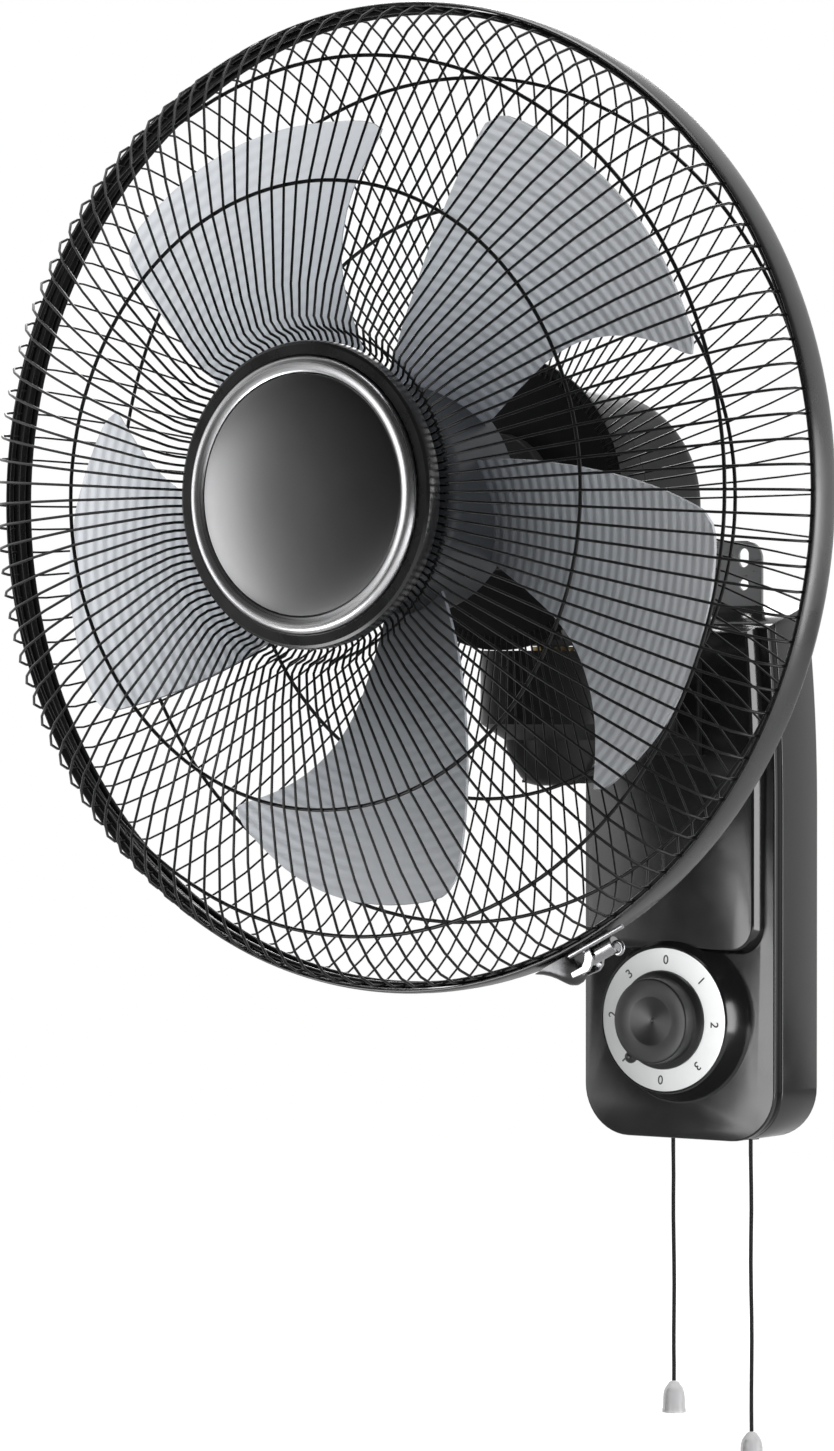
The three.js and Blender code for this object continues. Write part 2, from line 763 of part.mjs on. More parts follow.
function makeSwingDrive() {
  const [pinX, pinY] = linkPinPlace;
  const [crankX, crankY] = crankPlace;
  const toCrank = new THREE.Vector2(crankX - pinX, crankY - pinY).normalize();
  // The crank's pin stands square to the line from the link's pin to the crank's middle.
  const crankPin = new THREE.Vector2(crankX + toCrank.y * crankThrow, crankY - toCrank.x * crankThrow);
  const along = crankPin.clone().sub(new THREE.Vector2(pinX, pinY));
  const linkBottom = linkTop() - linkThickness;

  const rod = new THREE.BoxGeometry(along.length(), linkWidth, linkThickness);
  rod.rotateZ(along.angle());
  rod.translate((pinX + crankPin.x) / 2, (pinY + crankPin.y) / 2, linkTop() - linkThickness / 2);
  const link = cut(join(
    solidOf(rod),
    post(linkEyeRadius, linkBottom, linkTop(), 20).translate([pinX, pinY, 0]),
    post(linkEyeRadius, linkBottom, linkTop(), 20).translate([crankPin.x, crankPin.y, 0]),
  ), post(linkPinRadius + seat, linkBottom - reach, linkTop() + reach, 12).translate([pinX, pinY, 0]));
  place('swing_link', link, zincSteel, swivel);
  const pin = join(
    post(linkPinRadius, neckTop - 12, linkTop() + 2, 12),
    post(linkPinRadius + 2, linkTop() + seat, linkTop() + 2, 16),
  );
  place('link_pin', pin, zincSteel, swivel, [pinX, pinY, 0]);

  const discBottom = linkTop() + 4.3;
  const discTop = discBottom + crankThickness;
  const crank = join(
    post(crankRadius, discBottom, discTop, 28).translate([crankX, crankY, 0]),
    post(crankPinRadius, linkTop() + seat, discBottom + 1, 12).translate([crankPin.x, crankPin.y, 0]),
  );
  place('swing_crank', crank, zincSteel, swivel);
  const wheel = -crankX - shaftRadius - seat;
  const gear = join(
    post(wheel, axisHeight - wheelThickness / 2, axisHeight + wheelThickness / 2, 28),
    post(crankSpindleRadius, discTop + seat, axisHeight, 16),
  );
  place('crank_gear', gear, brass, swivel, [crankX, crankY, 0]);
}

// ---- Motor ----

function makeMotor() {
  const inside = motorRadius - motorWall;
  const hub = bearingRadius + seat;
  const hubOuter = hub + bearingHubWall;
  const noseFront = motorFront + noseLength;
  const pocketFront = motorFront - motorWall + 0.5;
  const bearingFront = pocketFront - seat;
  const frontCover = turned([
    [motorRadius, motorSplit], [motorRadius, motorFront - 6], [motorRadius - 5, motorFront],
    [noseRadius, motorFront], [noseRadius, noseFront], [shaftRadius + 2, noseFront],
    [shaftRadius + 2, pocketFront], [hub, pocketFront], [hub, bearingFront - bearingWidth - 1],
    [hubOuter, bearingFront - bearingWidth - 1], [hubOuter, motorFront - motorWall],
    [inside - 4, motorFront - motorWall], [inside, motorFront - motorWall - 5],
    [inside, motorSplit], [motorRadius, motorSplit],
  ]);
  place('motor_front_cover', frontCover, mattBlack, head);

  const rearInside = motorRear + motorWall;
  const shell = turned([
    [0, motorRear], [motorRadius - motorRearRound, motorRear], [motorRadius - 4, motorRear + 3.5],
    [motorRadius, motorRear + motorRearRound], [motorRadius, motorSplit - seat],
    [inside, motorSplit - seat], [inside, motorRear + motorRearRound],
    [inside - 3.6, motorRear + 5.4], [inside - motorRearRound + 2, rearInside], [0, rearInside],
  ]);
  const [crankX, crankY] = crankPlace;
  const spindleHole = post(crankSpindleRadius + 2, -motorRadius - reach, -motorRadius / 2, 16)
    .translate([crankX, ringFromWall - swivelFromWall + crankY, 0]);
  place('motor_rear_cover', cut(shell, spindleHole), mattBlack, head);

  const statorBack = statorMiddle - statorLength / 2;
  const statorFront = statorMiddle + statorLength / 2;
  place('stator', ring(statorInner, inside - seat, statorBack, statorFront), laminatedSteel, head);
  place('rotor_core', ring(shaftRadius + seat, statorInner - seat, statorBack + 1, statorFront - 1),
    laminatedSteel, head);
  place('motor_shaft', disc(shaftRadius, shaftRear, shaftFront), zincSteel, head);

  const bearing = (front) => ring(shaftRadius + seat, bearingRadius, front - bearingWidth, front);
  place('front_bearing', bearing(bearingFront), zincSteel, head);
  const shieldRear = endshieldRear;
  const hubFrontEnd = shieldRear + bearingWidth + seat;
  place('rear_bearing', bearing(hubFrontEnd), zincSteel, head);
  const shield = turned([
    [hub, shieldRear], [inside - seat, shieldRear], [inside - seat, shieldRear + endshieldThickness],
    [hubOuter, shieldRear + endshieldThickness], [hubOuter, hubFrontEnd], [hub, hubFrontEnd], [hub, shieldRear],
  ]);
  place('rear_endshield', shield, laminatedSteel, head);

  const caseFront = shieldRear - seat;
  const caseBack = caseFront - gearCaseDepth;
  const left = crankX - gearCaseWidth / 2 + 6;
  const right = left + gearCaseWidth;
  const low = -gearCaseHeight / 2 - 3;
  const high = low + gearCaseHeight;
  const wall = gearCaseWall;
  const gearCase = cut(
    box(left, right, -caseFront, -caseBack, low, high),
    box(left + wall, right - wall, -caseFront - reach, -caseBack - wall, low + wall, high - wall),
    post(crankSpindleRadius + seat, low - reach, low + wall + reach, 16)
      .translate([crankX, ringFromWall - swivelFromWall + crankY, 0]),
  );
  place('gear_case', gearCase, mattBlack, head);
}

// ---- Rotor ----

// [share of the blade's radius, leading edge, trailing edge], the edges in degrees from its middle line
const bladeEdgeAngles = [
  [0.27, -10.6, 41.4], [0.4, -10.1, 35.5], [0.51, -10.6, 31.4], [0.625, -13, 28.2], [0.74, -17.8, 25.5],
  [0.85, -24.4, 22.9], [0.91, -27.9, 21.6], [1, -27.9, 19.3],
];
// [share of the way across the blade, share of the blade's radius at the tip there]
const bladeTipShares = [
  [0, 0.915], [0.05, 0.9375], [0.17, 0.956], [0.31, 0.975], [0.47, 0.991], [0.7, 1], [0.95, 1], [1, 0.955],
];

function bladeEdgesAt(out) {
  let i = 1;
  while (i < bladeEdgeAngles.length - 1 && bladeEdgeAngles[i][0] < out) i += 1;
  const [low, leadingLow, trailingLow] = bladeEdgeAngles[i - 1];
  const [high, leadingHigh, trailingHigh] = bladeEdgeAngles[i];
  const share = (out - low) / (high - low);
  return [
    THREE.MathUtils.degToRad(leadingLow + share * (leadingHigh - leadingLow)),
    THREE.MathUtils.degToRad(trailingLow + share * (trailingHigh - trailingLow)),
  ];
}

// A point of the blade's middle surface, by the share of the way across it and of the way to the tip.
function bladePoint([across, tip], outward, start) {
  const root = hubRadius - hubWall / 2;
  const radius = root + (tip * bladeRadius - root) * outward;
  const [leading, trailing] = bladeEdgesAt(radius / bladeRadius);
  const angle = leading + across * (trailing - leading);
  const share = Math.max(radius - hubRadius, 0) / (bladeRadius - hubRadius);
  const forward = bladeRoot + bladeRake * share ** 1.5 + bladePitch * angle;
  return [radius * Math.cos(start + angle), -forward, radius * Math.sin(start + angle)];
}

function bladeAt(start) {
  const rows = 7;
  const columns = bladeTipShares.length;
  const spots = [];
  for (const side of [-1, 1]) {
    for (let row = 0; row <= rows; row += 1) {
      for (const column of bladeTipShares) {
        const [x, y, z] = bladePoint(column, row / rows, start);
        spots.push(x, y + side * bladeThickness / 2, z);
      }
    }
  }
  const back = (rows + 1) * columns;
  const index = [];
  const quad = (a, b, c, d) => index.push(a, b, c, a, c, d);
  for (let row = 0; row < rows; row += 1) {
    for (let i = 0; i < columns - 1; i += 1) {
      const at = row * columns + i;
      quad(at, at + 1, at + columns + 1, at + columns);
      quad(back + at, back + at + columns, back + at + columns + 1, back + at + 1);
    }
    const first = row * columns;
    const last = first + columns - 1;
    quad(first, first + columns, back + first + columns, back + first);
    quad(last, back + last, back + last + columns, last + columns);
  }
  for (let i = 0; i < columns - 1; i += 1) {
    const end = rows * columns + i;
    quad(i, back + i, back + i + 1, i + 1);
    quad(end, end + 1, back + end + 1, back + end);
  }
  const geometry = new THREE.BufferGeometry();
  geometry.setAttribute('position', new THREE.BufferAttribute(new Float32Array(spots), 3));
  geometry.setIndex(index);
  return facingOut(geometry);
}

function makeRotor() {
  const hub = turned([
    [hubRadius - hubWall, hubBack], [hubRadius, hubBack], [hubRadius, hubFront - 4],
    [hubRadius - 4, hubFront], [shaftRadius + seat, hubFront],
    [shaftRadius + seat, hubFront - hubBossLength], [hubBoss, hubFront - hubBossLength],
    [hubBoss, hubFront - hubWall], [hubRadius - hubWall - 2, hubFront - hubWall],
    [hubRadius - hubWall, hubFront - hubWall - 2], [hubRadius - hubWall, hubBack],
  ]);
  const blades = [];
  for (let i = 0; i < bladeCount; i += 1) {
    blades.push(bladeAt(bladeStart + (2 * Math.PI * i) / bladeCount));
  }
  place('blade_rotor', join(hub, ...blades), blueTint, head);
  const nutBack = hubFront + seat;
  const nutFront = nutBack + bladeNutLength;
  const nut = turned([
    [shaftRadius + seat, nutBack], [bladeNutRadius, nutBack], [bladeNutRadius, nutFront - 4],
    [bladeNutRadius - 4, nutFront], [0, nutFront], [0, shaftFront + seat], [shaftRadius + seat, shaftFront + seat],
    [shaftRadius + seat, nutBack],
  ], 20);
  place('blade_nut', nut, mattBlack, head);
}

// ---- Guards ----

// Points half a wire to one side of a line of points.
function beside(points, distance) {
  return points.map((point, i) => {
    const before = points[Math.max(i - 1, 0)];
    const after = points[Math.min(i + 1, points.length - 1)];
    const ahead = after.clone().sub(point);
    const behind = point.clone().sub(before);
    const along = ahead.normalize().add(behind.normalize()).normalize();
    return new THREE.Vector2(point.x - along.y * distance, point.y + along.x * distance);
  });
}

// One wire in the plane of the fan's axis, along [radius, forward] points, turned to its angle.
function wire(spots, angle) {
  const points = spots.map((spot) => new THREE.Vector2(...spot));
  const half = wireSize / 2;
  const outline = [...beside(points, half), ...beside(points, -half).reverse()];
  const geometry = new THREE.ExtrudeGeometry(new THREE.Shape(outline.reverse()), {
    depth: wireSize, bevelEnabled: false,
  });
  geometry.translate(0, 0, -half);
  geometry.rotateX(Math.PI);
  geometry.rotateY(-angle);
  return solidOf(geometry);
}

function wireRing([radius, forward], size = wireSize, segments = 2 * guardWires) {
  const half = size / 2;
  return ring(radius - half, radius + half, forward - half, forward + half, segments);
}

function wires(spots) {
  const all = [];
  for (let i = 0; i < guardWires; i += 1) all.push(wire(spots, (2 * Math.PI * (i + 0.25)) / guardWires));
  return wasm.Manifold.union(all);
}

function makeGuards() {
  const rim = bandRadius - bandThickness - seat - rimWireSize / 2;
  const innerSize = 3.2;
  const innerForward = badgeBack - seat - innerSize / 2;
  const spokes = [[guardRingInner, frontFoot[0][1]], ...frontFoot, ...frontProfile, [rim, rimWireForward]];
  const front = join(
    wires(spokes),
    wireRing([guardRingInner, innerForward], innerSize),
    ...frontRings.map((spot) => wireRing(spot)),
    wireRing([rim, rimWireForward], rimWireSize, rimSegments),
  );
  place('front_guard', front, blackWire, head);

  const plateFront = motorFront + rearPlateThickness + seat;
  const plateMiddle = plateFront - rearPlateThickness / 2;
  const rearSpokes = [[rearPlateRadius - 3, plateMiddle], ...rearProfile, [rim, -rimWireForward]];
  const rear = join(
    wires(rearSpokes),
    ring(noseRadius + seat, rearPlateRadius, plateFront - rearPlateThickness, plateFront),
    ...rearRings.map((spot) => wireRing(spot)),
    wireRing([rim, -rimWireForward], rimWireSize, rimSegments),
  );
  place('rear_guard', rear, blackWire, head);
  const nutBack = plateFront + 1;
  place('guard_nut', ring(noseRadius + seat, guardNutRadius, nutBack, nutBack + guardNutThickness),
    mattBlack, head);

  const halfBand = bandWidth / 2;
  const bandInner = bandRadius - bandThickness;
  const band = turned([
    [bandInner, -halfBand], [bandRadius, -halfBand], [bandRadius, halfBand], [bandInner, halfBand],
    [bandInner, -halfBand],
  ], rimSegments);
  place('rim_band', band, glossBlack, head);
}

function makeLatch() {
  const low = bandRadius + seat;
  const high = low + latchHeight;
  const shape = new THREE.Shape();
  shape.absarc(0, 0, high, latchAngle - latchSpread, latchAngle + latchSpread, false);
  shape.absarc(0, 0, low, latchAngle + latchSpread, latchAngle - latchSpread, true);
  const body = slab(shape, latchWidth / 2, -latchWidth / 2, 6);
  const bar = new THREE.CylinderGeometry(latchScrewRadius, latchScrewRadius, latchScrewLength, 14);
  bar.rotateX(Math.PI / 2);
  bar.translate(high - latchScrewRadius / 2, 0, 0);
  bar.rotateY(-latchAngle);
  const groove = new THREE.CylinderGeometry(
    latchScrewRadius + seat, latchScrewRadius + seat, latchScrewLength + 2 * latchWidth, 14);
  groove.rotateX(Math.PI / 2);
  groove.translate(high - latchScrewRadius / 2, 0, 0);
  groove.rotateY(-latchAngle);
  place('rim_latch', cut(body, solidOf(groove)), mattBlack, head);
  place('latch_screw', solidOf(bar), satinSilver, head);
}

function makeBadge() {
  const floorBack = badgeBack;
  const base = turned([
    [0, floorBack], [badgeBaseRadius - 1.5, floorBack], [badgeBaseRadius, floorBack + 2],
    [badgeBaseRadius, badgeBaseFront - 2], [badgeBaseRadius - 1.5, badgeBaseFront],
    [badgeRingRadius + seat, badgeBaseFront], [badgeRingRadius + seat, badgeFloor], [0, badgeFloor],
  ], 28);
  place('badge_base', base, mattBlack, head);
  const ringBack = badgeFloor + seat;
  const bezel = turned([
    [badgeRingInner, ringBack], [badgeRingRadius, ringBack], [badgeRingRadius, badgeBaseFront],
    [badgeRingRadius - 1.2, badgeRingFront], [badgeRingInner + 1, badgeRingFront - 0.6],
    [badgeRingInner, badgeRingFront - 1.2], [badgeRingInner, ringBack],
  ], 28);
  place('badge_ring', bezel, satinSilver, head);
  const edge = badgeRingInner - seat;
  const discFront = badgeRingFront - 1.5;
  const domed = turned([
    [0, ringBack], [edge, ringBack], [edge, discFront], [edge * 0.75, (discFront + 2 * badgeDiscFront) / 3],
    [edge * 0.4, badgeDiscFront - 0.4], [0, badgeDiscFront],
  ], 28);
  place('badge_disc', domed, glossBlack, head);
}

makeWallPlate();
makeRearHousing();
makeFrontCover();
makeCoverScrews();
makeDial();
makePull('speed', -1, speedCordPoints);
makePull('swing', 1, swingCordPoints);
makeCaseContents();
makeTiltHinge();
makeNeckArm();
makeSwivel();
makeSwingDrive();
makeMotor();
makeRotor();
makeGuards();
makeLatch();
makeBadge();

export default fan;
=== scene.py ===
import json
import math

import bmesh
import bpy
from mathutils import Matrix, Vector


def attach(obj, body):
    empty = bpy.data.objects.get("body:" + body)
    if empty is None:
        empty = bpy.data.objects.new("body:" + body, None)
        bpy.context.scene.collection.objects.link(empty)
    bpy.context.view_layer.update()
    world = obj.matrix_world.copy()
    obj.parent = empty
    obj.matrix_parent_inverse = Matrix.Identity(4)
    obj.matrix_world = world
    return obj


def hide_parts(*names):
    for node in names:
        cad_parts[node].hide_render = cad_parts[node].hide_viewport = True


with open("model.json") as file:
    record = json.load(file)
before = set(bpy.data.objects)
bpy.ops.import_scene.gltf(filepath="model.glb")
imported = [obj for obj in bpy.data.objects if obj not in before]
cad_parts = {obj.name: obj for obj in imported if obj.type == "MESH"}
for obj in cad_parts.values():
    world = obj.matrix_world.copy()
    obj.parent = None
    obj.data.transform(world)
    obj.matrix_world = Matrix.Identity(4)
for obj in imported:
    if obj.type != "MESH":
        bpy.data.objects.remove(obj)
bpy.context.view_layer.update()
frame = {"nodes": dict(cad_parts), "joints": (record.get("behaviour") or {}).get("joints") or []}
mm = 0.001  # sizes are in millimetres unless a note says otherwise
mergeGap = 1e-6  # metres; corners closer than this become one
upAxis = Vector((0, 0, 1))
fanAxis = Vector((0, -1, 0))  # the way the fan blows
jointPlace = {joint["name"]: joint["pos_m"] for joint in frame["joints"] if "pos_m" in joint}
ringCentre = Vector(jointPlace["rotor_spin"])  # where the fan's axis meets the plane of the rim


def addNode(tree, kind, inputs, **settings):
    # each input is a value or another node's output
    node = tree.nodes.new("ShaderNode" + kind)
    for setting, value in settings.items():
        setattr(node, setting, value)
    for socket, value in inputs.items():
        if isinstance(value, bpy.types.NodeSocket):
            tree.links.new(value, node.inputs[socket])
        else:
            node.inputs[socket].default_value = value
    return node


def newMaterial(name, colour, roughness, metallic=0.0, **sockets):
    material = bpy.data.materials.new(name)
    material.use_nodes = True
    shader = material.node_tree.nodes["Principled BSDF"]
    shader.inputs["Base Color"].default_value = (*colour, 1)
    shader.inputs["Roughness"].default_value = roughness
    shader.inputs["Metallic"].default_value = metallic
    for socket, value in sockets.items():
        shader.inputs[socket.replace("_", " ")].default_value = value
    material.diffuse_color = (*colour, 1)
    return material


# places and sizes in metres, angles in degrees
camera = {
    "place": (1.3788, -2.2247, 0.1043), "turn": 35, "down": 0.787, "lens": 136.46, "sensor": 36,
    "nearest": 0.1, "furthest": 60,
}
# the floor glows from nearGlow to farGlow between the distances near and far; a reflection goes from the
# room's dim level to white as it turns towards the backdrop, between the two cosines in fade
room = {
    "floor": -0.46, "size": 6, "pale": (0.6, 0.6, 0.6), "near": 1.0, "far": 2.2, "nearGlow": 0.35,
    "farGlow": 1.0, "fill": 0.17, "dim": 0.03, "backdrop": (-0.55, 0.78, -0.3), "fade": (-0.35, 0.25),
}
lamps = {
    "keySoftbox": {
        "place": (2.2, -0.74, 0.65), "aim": (0, -0.27, 0.17), "size": (0.9, 0.9), "power": 122,
        "mirrored": False,
    },
    "leftSoftbox": {
        "place": (-1.68, -1.37, 0.0), "aim": (0, -0.27, 0.17), "size": (0.85, 0.95), "power": 6.8,
        "lights": False,
    },
    "faceSoftbox": {
        "place": (-0.1, -0.49, -0.127), "aim": (0.04, -0.045, -0.08), "size": (0.2, 0.2), "power": 0.9,
        "lights": False,
    },
    "topSoftbox": {"place": (0.1, 0.2, 2.3), "aim": (0, -0.15, 0), "size": (1.6, 1.0), "power": 24},
    "backSoftbox": {"place": (-1.2, 1.6, 0.9), "aim": (0, 0, 0.1), "size": (1.0, 1.0), "power": 16},
    "edgeSoftbox": {
        "place": (1.44, 0.487, -0.07), "aim": (0, -0.05, -0.05), "size": (0.85, 1.0), "power": 19,
        "lights": False,
    },
}


def makeCamera():
    lens = bpy.data.cameras.new("camera")
    lens.lens = camera["lens"]
    lens.sensor_width = camera["sensor"]
    lens.clip_start = camera["nearest"]
    lens.clip_end = camera["furthest"]
    eye = bpy.data.objects.new("camera", lens)
    eye.location = camera["place"]
    eye.rotation_euler = (math.radians(90 - camera["down"]), 0, math.radians(camera["turn"]))
    bpy.context.scene.collection.objects.link(eye)
    bpy.context.scene.camera = eye


def makeWorld():
    # white for the camera; reflections see a white backdrop that fades to a dim room before the fan
    world = bpy.data.worlds.new("studio")
    bpy.context.scene.world = world
    world.use_nodes = True
    tree = world.node_tree
    tree.nodes.clear()
    rays = addNode(tree, "LightPath", {})
    where = addNode(tree, "TexCoord", {})
    towards = addNode(
        tree, "VectorMath", {0: where.outputs["Generated"], 1: room["backdrop"]}, operation="DOT_PRODUCT")
    fade = addNode(tree, "MapRange", {
        "Value": towards.outputs["Value"], "From Min": room["fade"][0], "From Max": room["fade"][1],
        "To Min": room["dim"],
    }, interpolation_type="SMOOTHSTEP")
    mirrored = addNode(tree, "Mix", {
        0: rays.outputs["Is Glossy Ray"], 2: room["fill"], 3: fade.outputs["Result"]})
    seen = addNode(tree, "Math", {
        0: rays.outputs["Is Camera Ray"], 1: rays.outputs["Is Transmission Ray"],
    }, operation="MAXIMUM")
    strength = addNode(tree, "Mix", {0: seen.outputs[0], 2: mirrored.outputs[0], 3: 1.0})
    background = addNode(tree, "Background", {"Color": (1, 1, 1, 1), "Strength": strength.outputs[0]})
    addNode(tree, "OutputWorld", {"Surface": background.outputs[0]})


def makeFloor():
    bm = bmesh.new()
    bmesh.ops.create_grid(bm, x_segments=1, y_segments=1, size=room["size"] / 2)
    bmesh.ops.translate(bm, vec=(0, 0, room["floor"]), verts=bm.verts)
    mesh = bpy.data.meshes.new("floor")
    bm.to_mesh(mesh)
    bm.free()
    floor = bpy.data.objects.new("floor", mesh)
    bpy.context.scene.collection.objects.link(floor)
    material = newMaterial("paleFloor", room["pale"], 0.9, Specular_IOR_Level=0.0)
    tree = material.node_tree
    shader = tree.nodes["Principled BSDF"]
    # away from the fan the camera sees plain white; near it the shadow stays
    rays = addNode(tree, "LightPath", {})
    where = addNode(tree, "TexCoord", {})
    away = addNode(tree, "VectorMath", {0: where.outputs["Object"]}, operation="LENGTH")
    glowing = addNode(tree, "MapRange", {
        "Value": away.outputs["Value"], "From Min": room["near"], "From Max": room["far"],
        "To Min": room["nearGlow"], "To Max": room["farGlow"],
    }, interpolation_type="SMOOTHSTEP")
    glow = addNode(tree, "Emission", {"Strength": glowing.outputs["Result"]})
    both = addNode(tree, "AddShader", {0: shader.outputs[0], 1: glow.outputs[0]})
    mix = addNode(tree, "MixShader", {
        0: rays.outputs["Is Camera Ray"], 1: shader.outputs[0], 2: both.outputs[0]})
    tree.links.new(mix.outputs[0], tree.nodes["Material Output"].inputs["Surface"])
    mesh.materials.append(material)


def makeLamp(name, place, aim, size, power, lights=True, mirrored=True):
    # lights is for matt surfaces; a lamp that isn't mirrored throws no shadows either
    lamp = bpy.data.lights.new(name, "AREA")
    lamp.shape = "RECTANGLE"
    lamp.size, lamp.size_y = size
    lamp.energy = power
    lamp.use_shadow = mirrored
    holder = bpy.data.objects.new(name, lamp)
    holder.location = place
    holder.rotation_euler = (Vector(aim) - Vector(place)).to_track_quat("-Z", "Y").to_euler()
    holder.visible_camera = False
    holder.visible_diffuse = lights
    holder.visible_glossy = mirrored
    bpy.context.scene.collection.objects.link(holder)


makeCamera()
makeWorld()
makeFloor()
for name, lamp in lamps.items():
    makeLamp(name, **lamp)
bpy.context.scene.view_settings.view_transform = "Standard"
print("camera, lamps and floor are set")


def feed(material, socket, output):
    tree = material.node_tree
    tree.links.new(output, tree.nodes["Principled BSDF"].inputs[socket])


def objectCoordinates(material, scale=(1, 1, 1), centre=(0, 0, 0)):
    where = addNode(material.node_tree, "TexCoord", {})
    shift = [-c * s for c, s in zip(centre, scale)]
    mapping = addNode(material.node_tree, "Mapping", {
        "Vector": where.outputs["Object"], "Scale": scale, "Location": shift})
    return mapping.outputs["Vector"]


def noiseOn(material, place, scale):
    noise = addNode(material.node_tree, "TexNoise", {"Vector": place, "Scale": scale, "Detail": 4.0})
    return noise.outputs["Fac"]


def roughnessFrom(material, value, low, high):
    # most of a noise lies between 0.3 and 0.7
    remap = addNode(material.node_tree, "MapRange", {
        "Value": value, "From Min": 0.3, "From Max": 0.7, "To Min": low, "To Max": high})
    feed(material, "Roughness", remap.outputs["Result"])


def bumpFrom(material, value, strength, depth):
    # depth in metres
    bump = addNode(material.node_tree, "Bump", {"Height": value, "Strength": strength, "Distance": depth})
    feed(material, "Normal", bump.outputs["Normal"])


def colourRamp(material, value, first, last):
    ramp = addNode(material.node_tree, "ValToRGB", {"Fac": value})
    ramp.color_ramp.elements[0].color = (*first, 1)
    ramp.color_ramp.elements[1].color = (*last, 1)
    return ramp


def distanceFromAxis(material):
    # coordinates flattened along the fan's axis are as long as the distance from it
    flat = objectCoordinates(material, (1, 0, 1), ringCentre)
    return addNode(material.node_tree, "VectorMath", {0: flat}, operation="LENGTH").outputs["Value"]


def cleanNormals(bm):
    bmesh.ops.recalc_face_normals(bm, faces=bm.faces)


# clouds is the scale at which the roughness changes, and tones that at which the colour gets paler
plasticLook = {"clouds": 60, "smoother": 0.85, "rougher": 1.2, "tones": 35, "paler": 1.12, "lift": 0.0006}
metalLook = {"smoother": 0.75, "rougher": 1.3, "depth": 0.0002}
fineGrain = {"scale": 1400, "strength": 0.25, "depth": 0.0002}
orangePeel = {"scale": 260, "strength": 0.05, "depth": 0.0002}


def mouldedPlastic(name, colour, roughness, grain, **sockets):
    look = plasticLook
    material = newMaterial(name, colour, roughness, **sockets)
    place = objectCoordinates(material)
    clouds = noiseOn(material, place, look["clouds"])
    roughnessFrom(material, clouds, roughness * look["smoother"], roughness * look["rougher"])
    paler = tuple(min(1, c * look["paler"] + look["lift"]) for c in colour)
    tones = colourRamp(material, noiseOn(material, place, look["tones"]), colour, paler)
    feed(material, "Base Color", tones.outputs["Color"])
    bumpFrom(material, noiseOn(material, place, grain["scale"]), grain["strength"], grain["depth"])
    return material


def brushedMetal(name, colour, roughness, stretch, scale, strength):
    look = metalLook
    material = newMaterial(name, colour, roughness, metallic=1.0)
    streaks = noiseOn(material, objectCoordinates(material, stretch), scale)
    roughnessFrom(material, streaks, roughness * look["smoother"], roughness * look["rougher"])
    bumpFrom(material, streaks, strength, look["depth"])
    return material


pianoBlack = (0.003, 0.003, 0.0032)
coalBlack = (0.004, 0.004, 0.0043)
caseGloss = mouldedPlastic("caseGloss", pianoBlack, 0.16, orangePeel)
neckGloss = mouldedPlastic("neckGloss", pianoBlack, 0.34, orangePeel, Specular_IOR_Level=0.12)
mattBlack = mouldedPlastic("mattBlack", (0.006, 0.006, 0.0063), 0.5, fineGrain, Specular_IOR_Level=0.3)
motorPaint = mouldedPlastic("motorPaint", coalBlack, 0.45, fineGrain, Specular_IOR_Level=0.1)
wireCoat = mouldedPlastic("wireCoat", (0.002, 0.002, 0.0022), 0.3, orangePeel, Specular_IOR_Level=0.2)
bandGloss = mouldedPlastic("bandGloss", pianoBlack, 0.28, orangePeel, Specular_IOR_Level=0.6)
knobGloss = mouldedPlastic("knobGloss", coalBlack, 0.32, orangePeel, Specular_IOR_Level=0.4)
hubPlastic = mouldedPlastic("hubPlastic", (0.009, 0.01, 0.0115), 0.4, orangePeel, Specular_IOR_Level=0.3)
whiteMould = mouldedPlastic("whiteMould", (0.78, 0.78, 0.76), 0.4, fineGrain)
dialWhite = mouldedPlastic("dialWhite", (0.67, 0.68, 0.68), 0.5, fineGrain, Specular_IOR_Level=0.1)
digitInk = mouldedPlastic("digitInk", (0.02, 0.02, 0.02), 0.5, fineGrain)
zincPlate = brushedMetal("zincPlate", (0.2, 0.203, 0.206), 0.35, (1, 1, 8), 220, 0.12)
steelStack = brushedMetal("steelStack", (0.3, 0.31, 0.33), 0.45, (1, 40, 1), 60, 0.5)
latchMetal = brushedMetal("latchMetal", (0.07, 0.07, 0.072), 0.22, (1, 1, 1), 500, 0.1)
polishedPin = brushedMetal("polishedPin", (0.3, 0.3, 0.307), 0.25, (1, 1, 1), 300, 0.03)
softBrass = brushedMetal("softBrass", (0.3, 0.22, 0.1), 0.35, (1, 1, 6), 200, 0.1)
print("materials are mixed")


def addPiece(name, bm, body, material, replaced=(), sharp=30):
    mesh = bpy.data.meshes.new(name)
    bm.to_mesh(mesh)
    bm.free()
    mesh.materials.append(material)
    mesh.shade_smooth()
    mesh.set_sharp_from_angle(angle=math.radians(sharp))
    piece = bpy.data.objects.new(name, mesh)
    bpy.context.scene.collection.objects.link(piece)
    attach(piece, body)
    if replaced:
        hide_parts(*replaced)
    return piece


def softEdges(piece, width, segments=3, angle=32):
    bevel = piece.modifiers.new("softEdges", "BEVEL")
    bevel.width = width * mm
    bevel.segments = segments
    bevel.limit_method = "ANGLE"
    bevel.angle_limit = math.radians(angle)


def turnedMesh(profile, centre, axis, steps):
    # the profile is [radius, distance along the axis]
    bm = bmesh.new()
    side = axis.orthogonal().normalized()
    corners = [bm.verts.new(centre + side * r * mm + axis * a * mm) for r, a in profile]
    edges = [bm.edges.new(pair) for pair in zip(corners, corners[1:])]
    bmesh.ops.spin(
        bm, geom=corners + edges, cent=centre, axis=axis, angle=math.tau, steps=steps, use_merge=True)
    bmesh.ops.remove_doubles(bm, verts=bm.verts, dist=mergeGap)
    # corners on the axis leave faces without an area
    emptyFaces = [f for f in bm.faces if f.calc_area() < 1e-13]
    bmesh.ops.delete(bm, geom=emptyFaces, context="FACES_ONLY")
    cleanNormals(bm)
    return bm


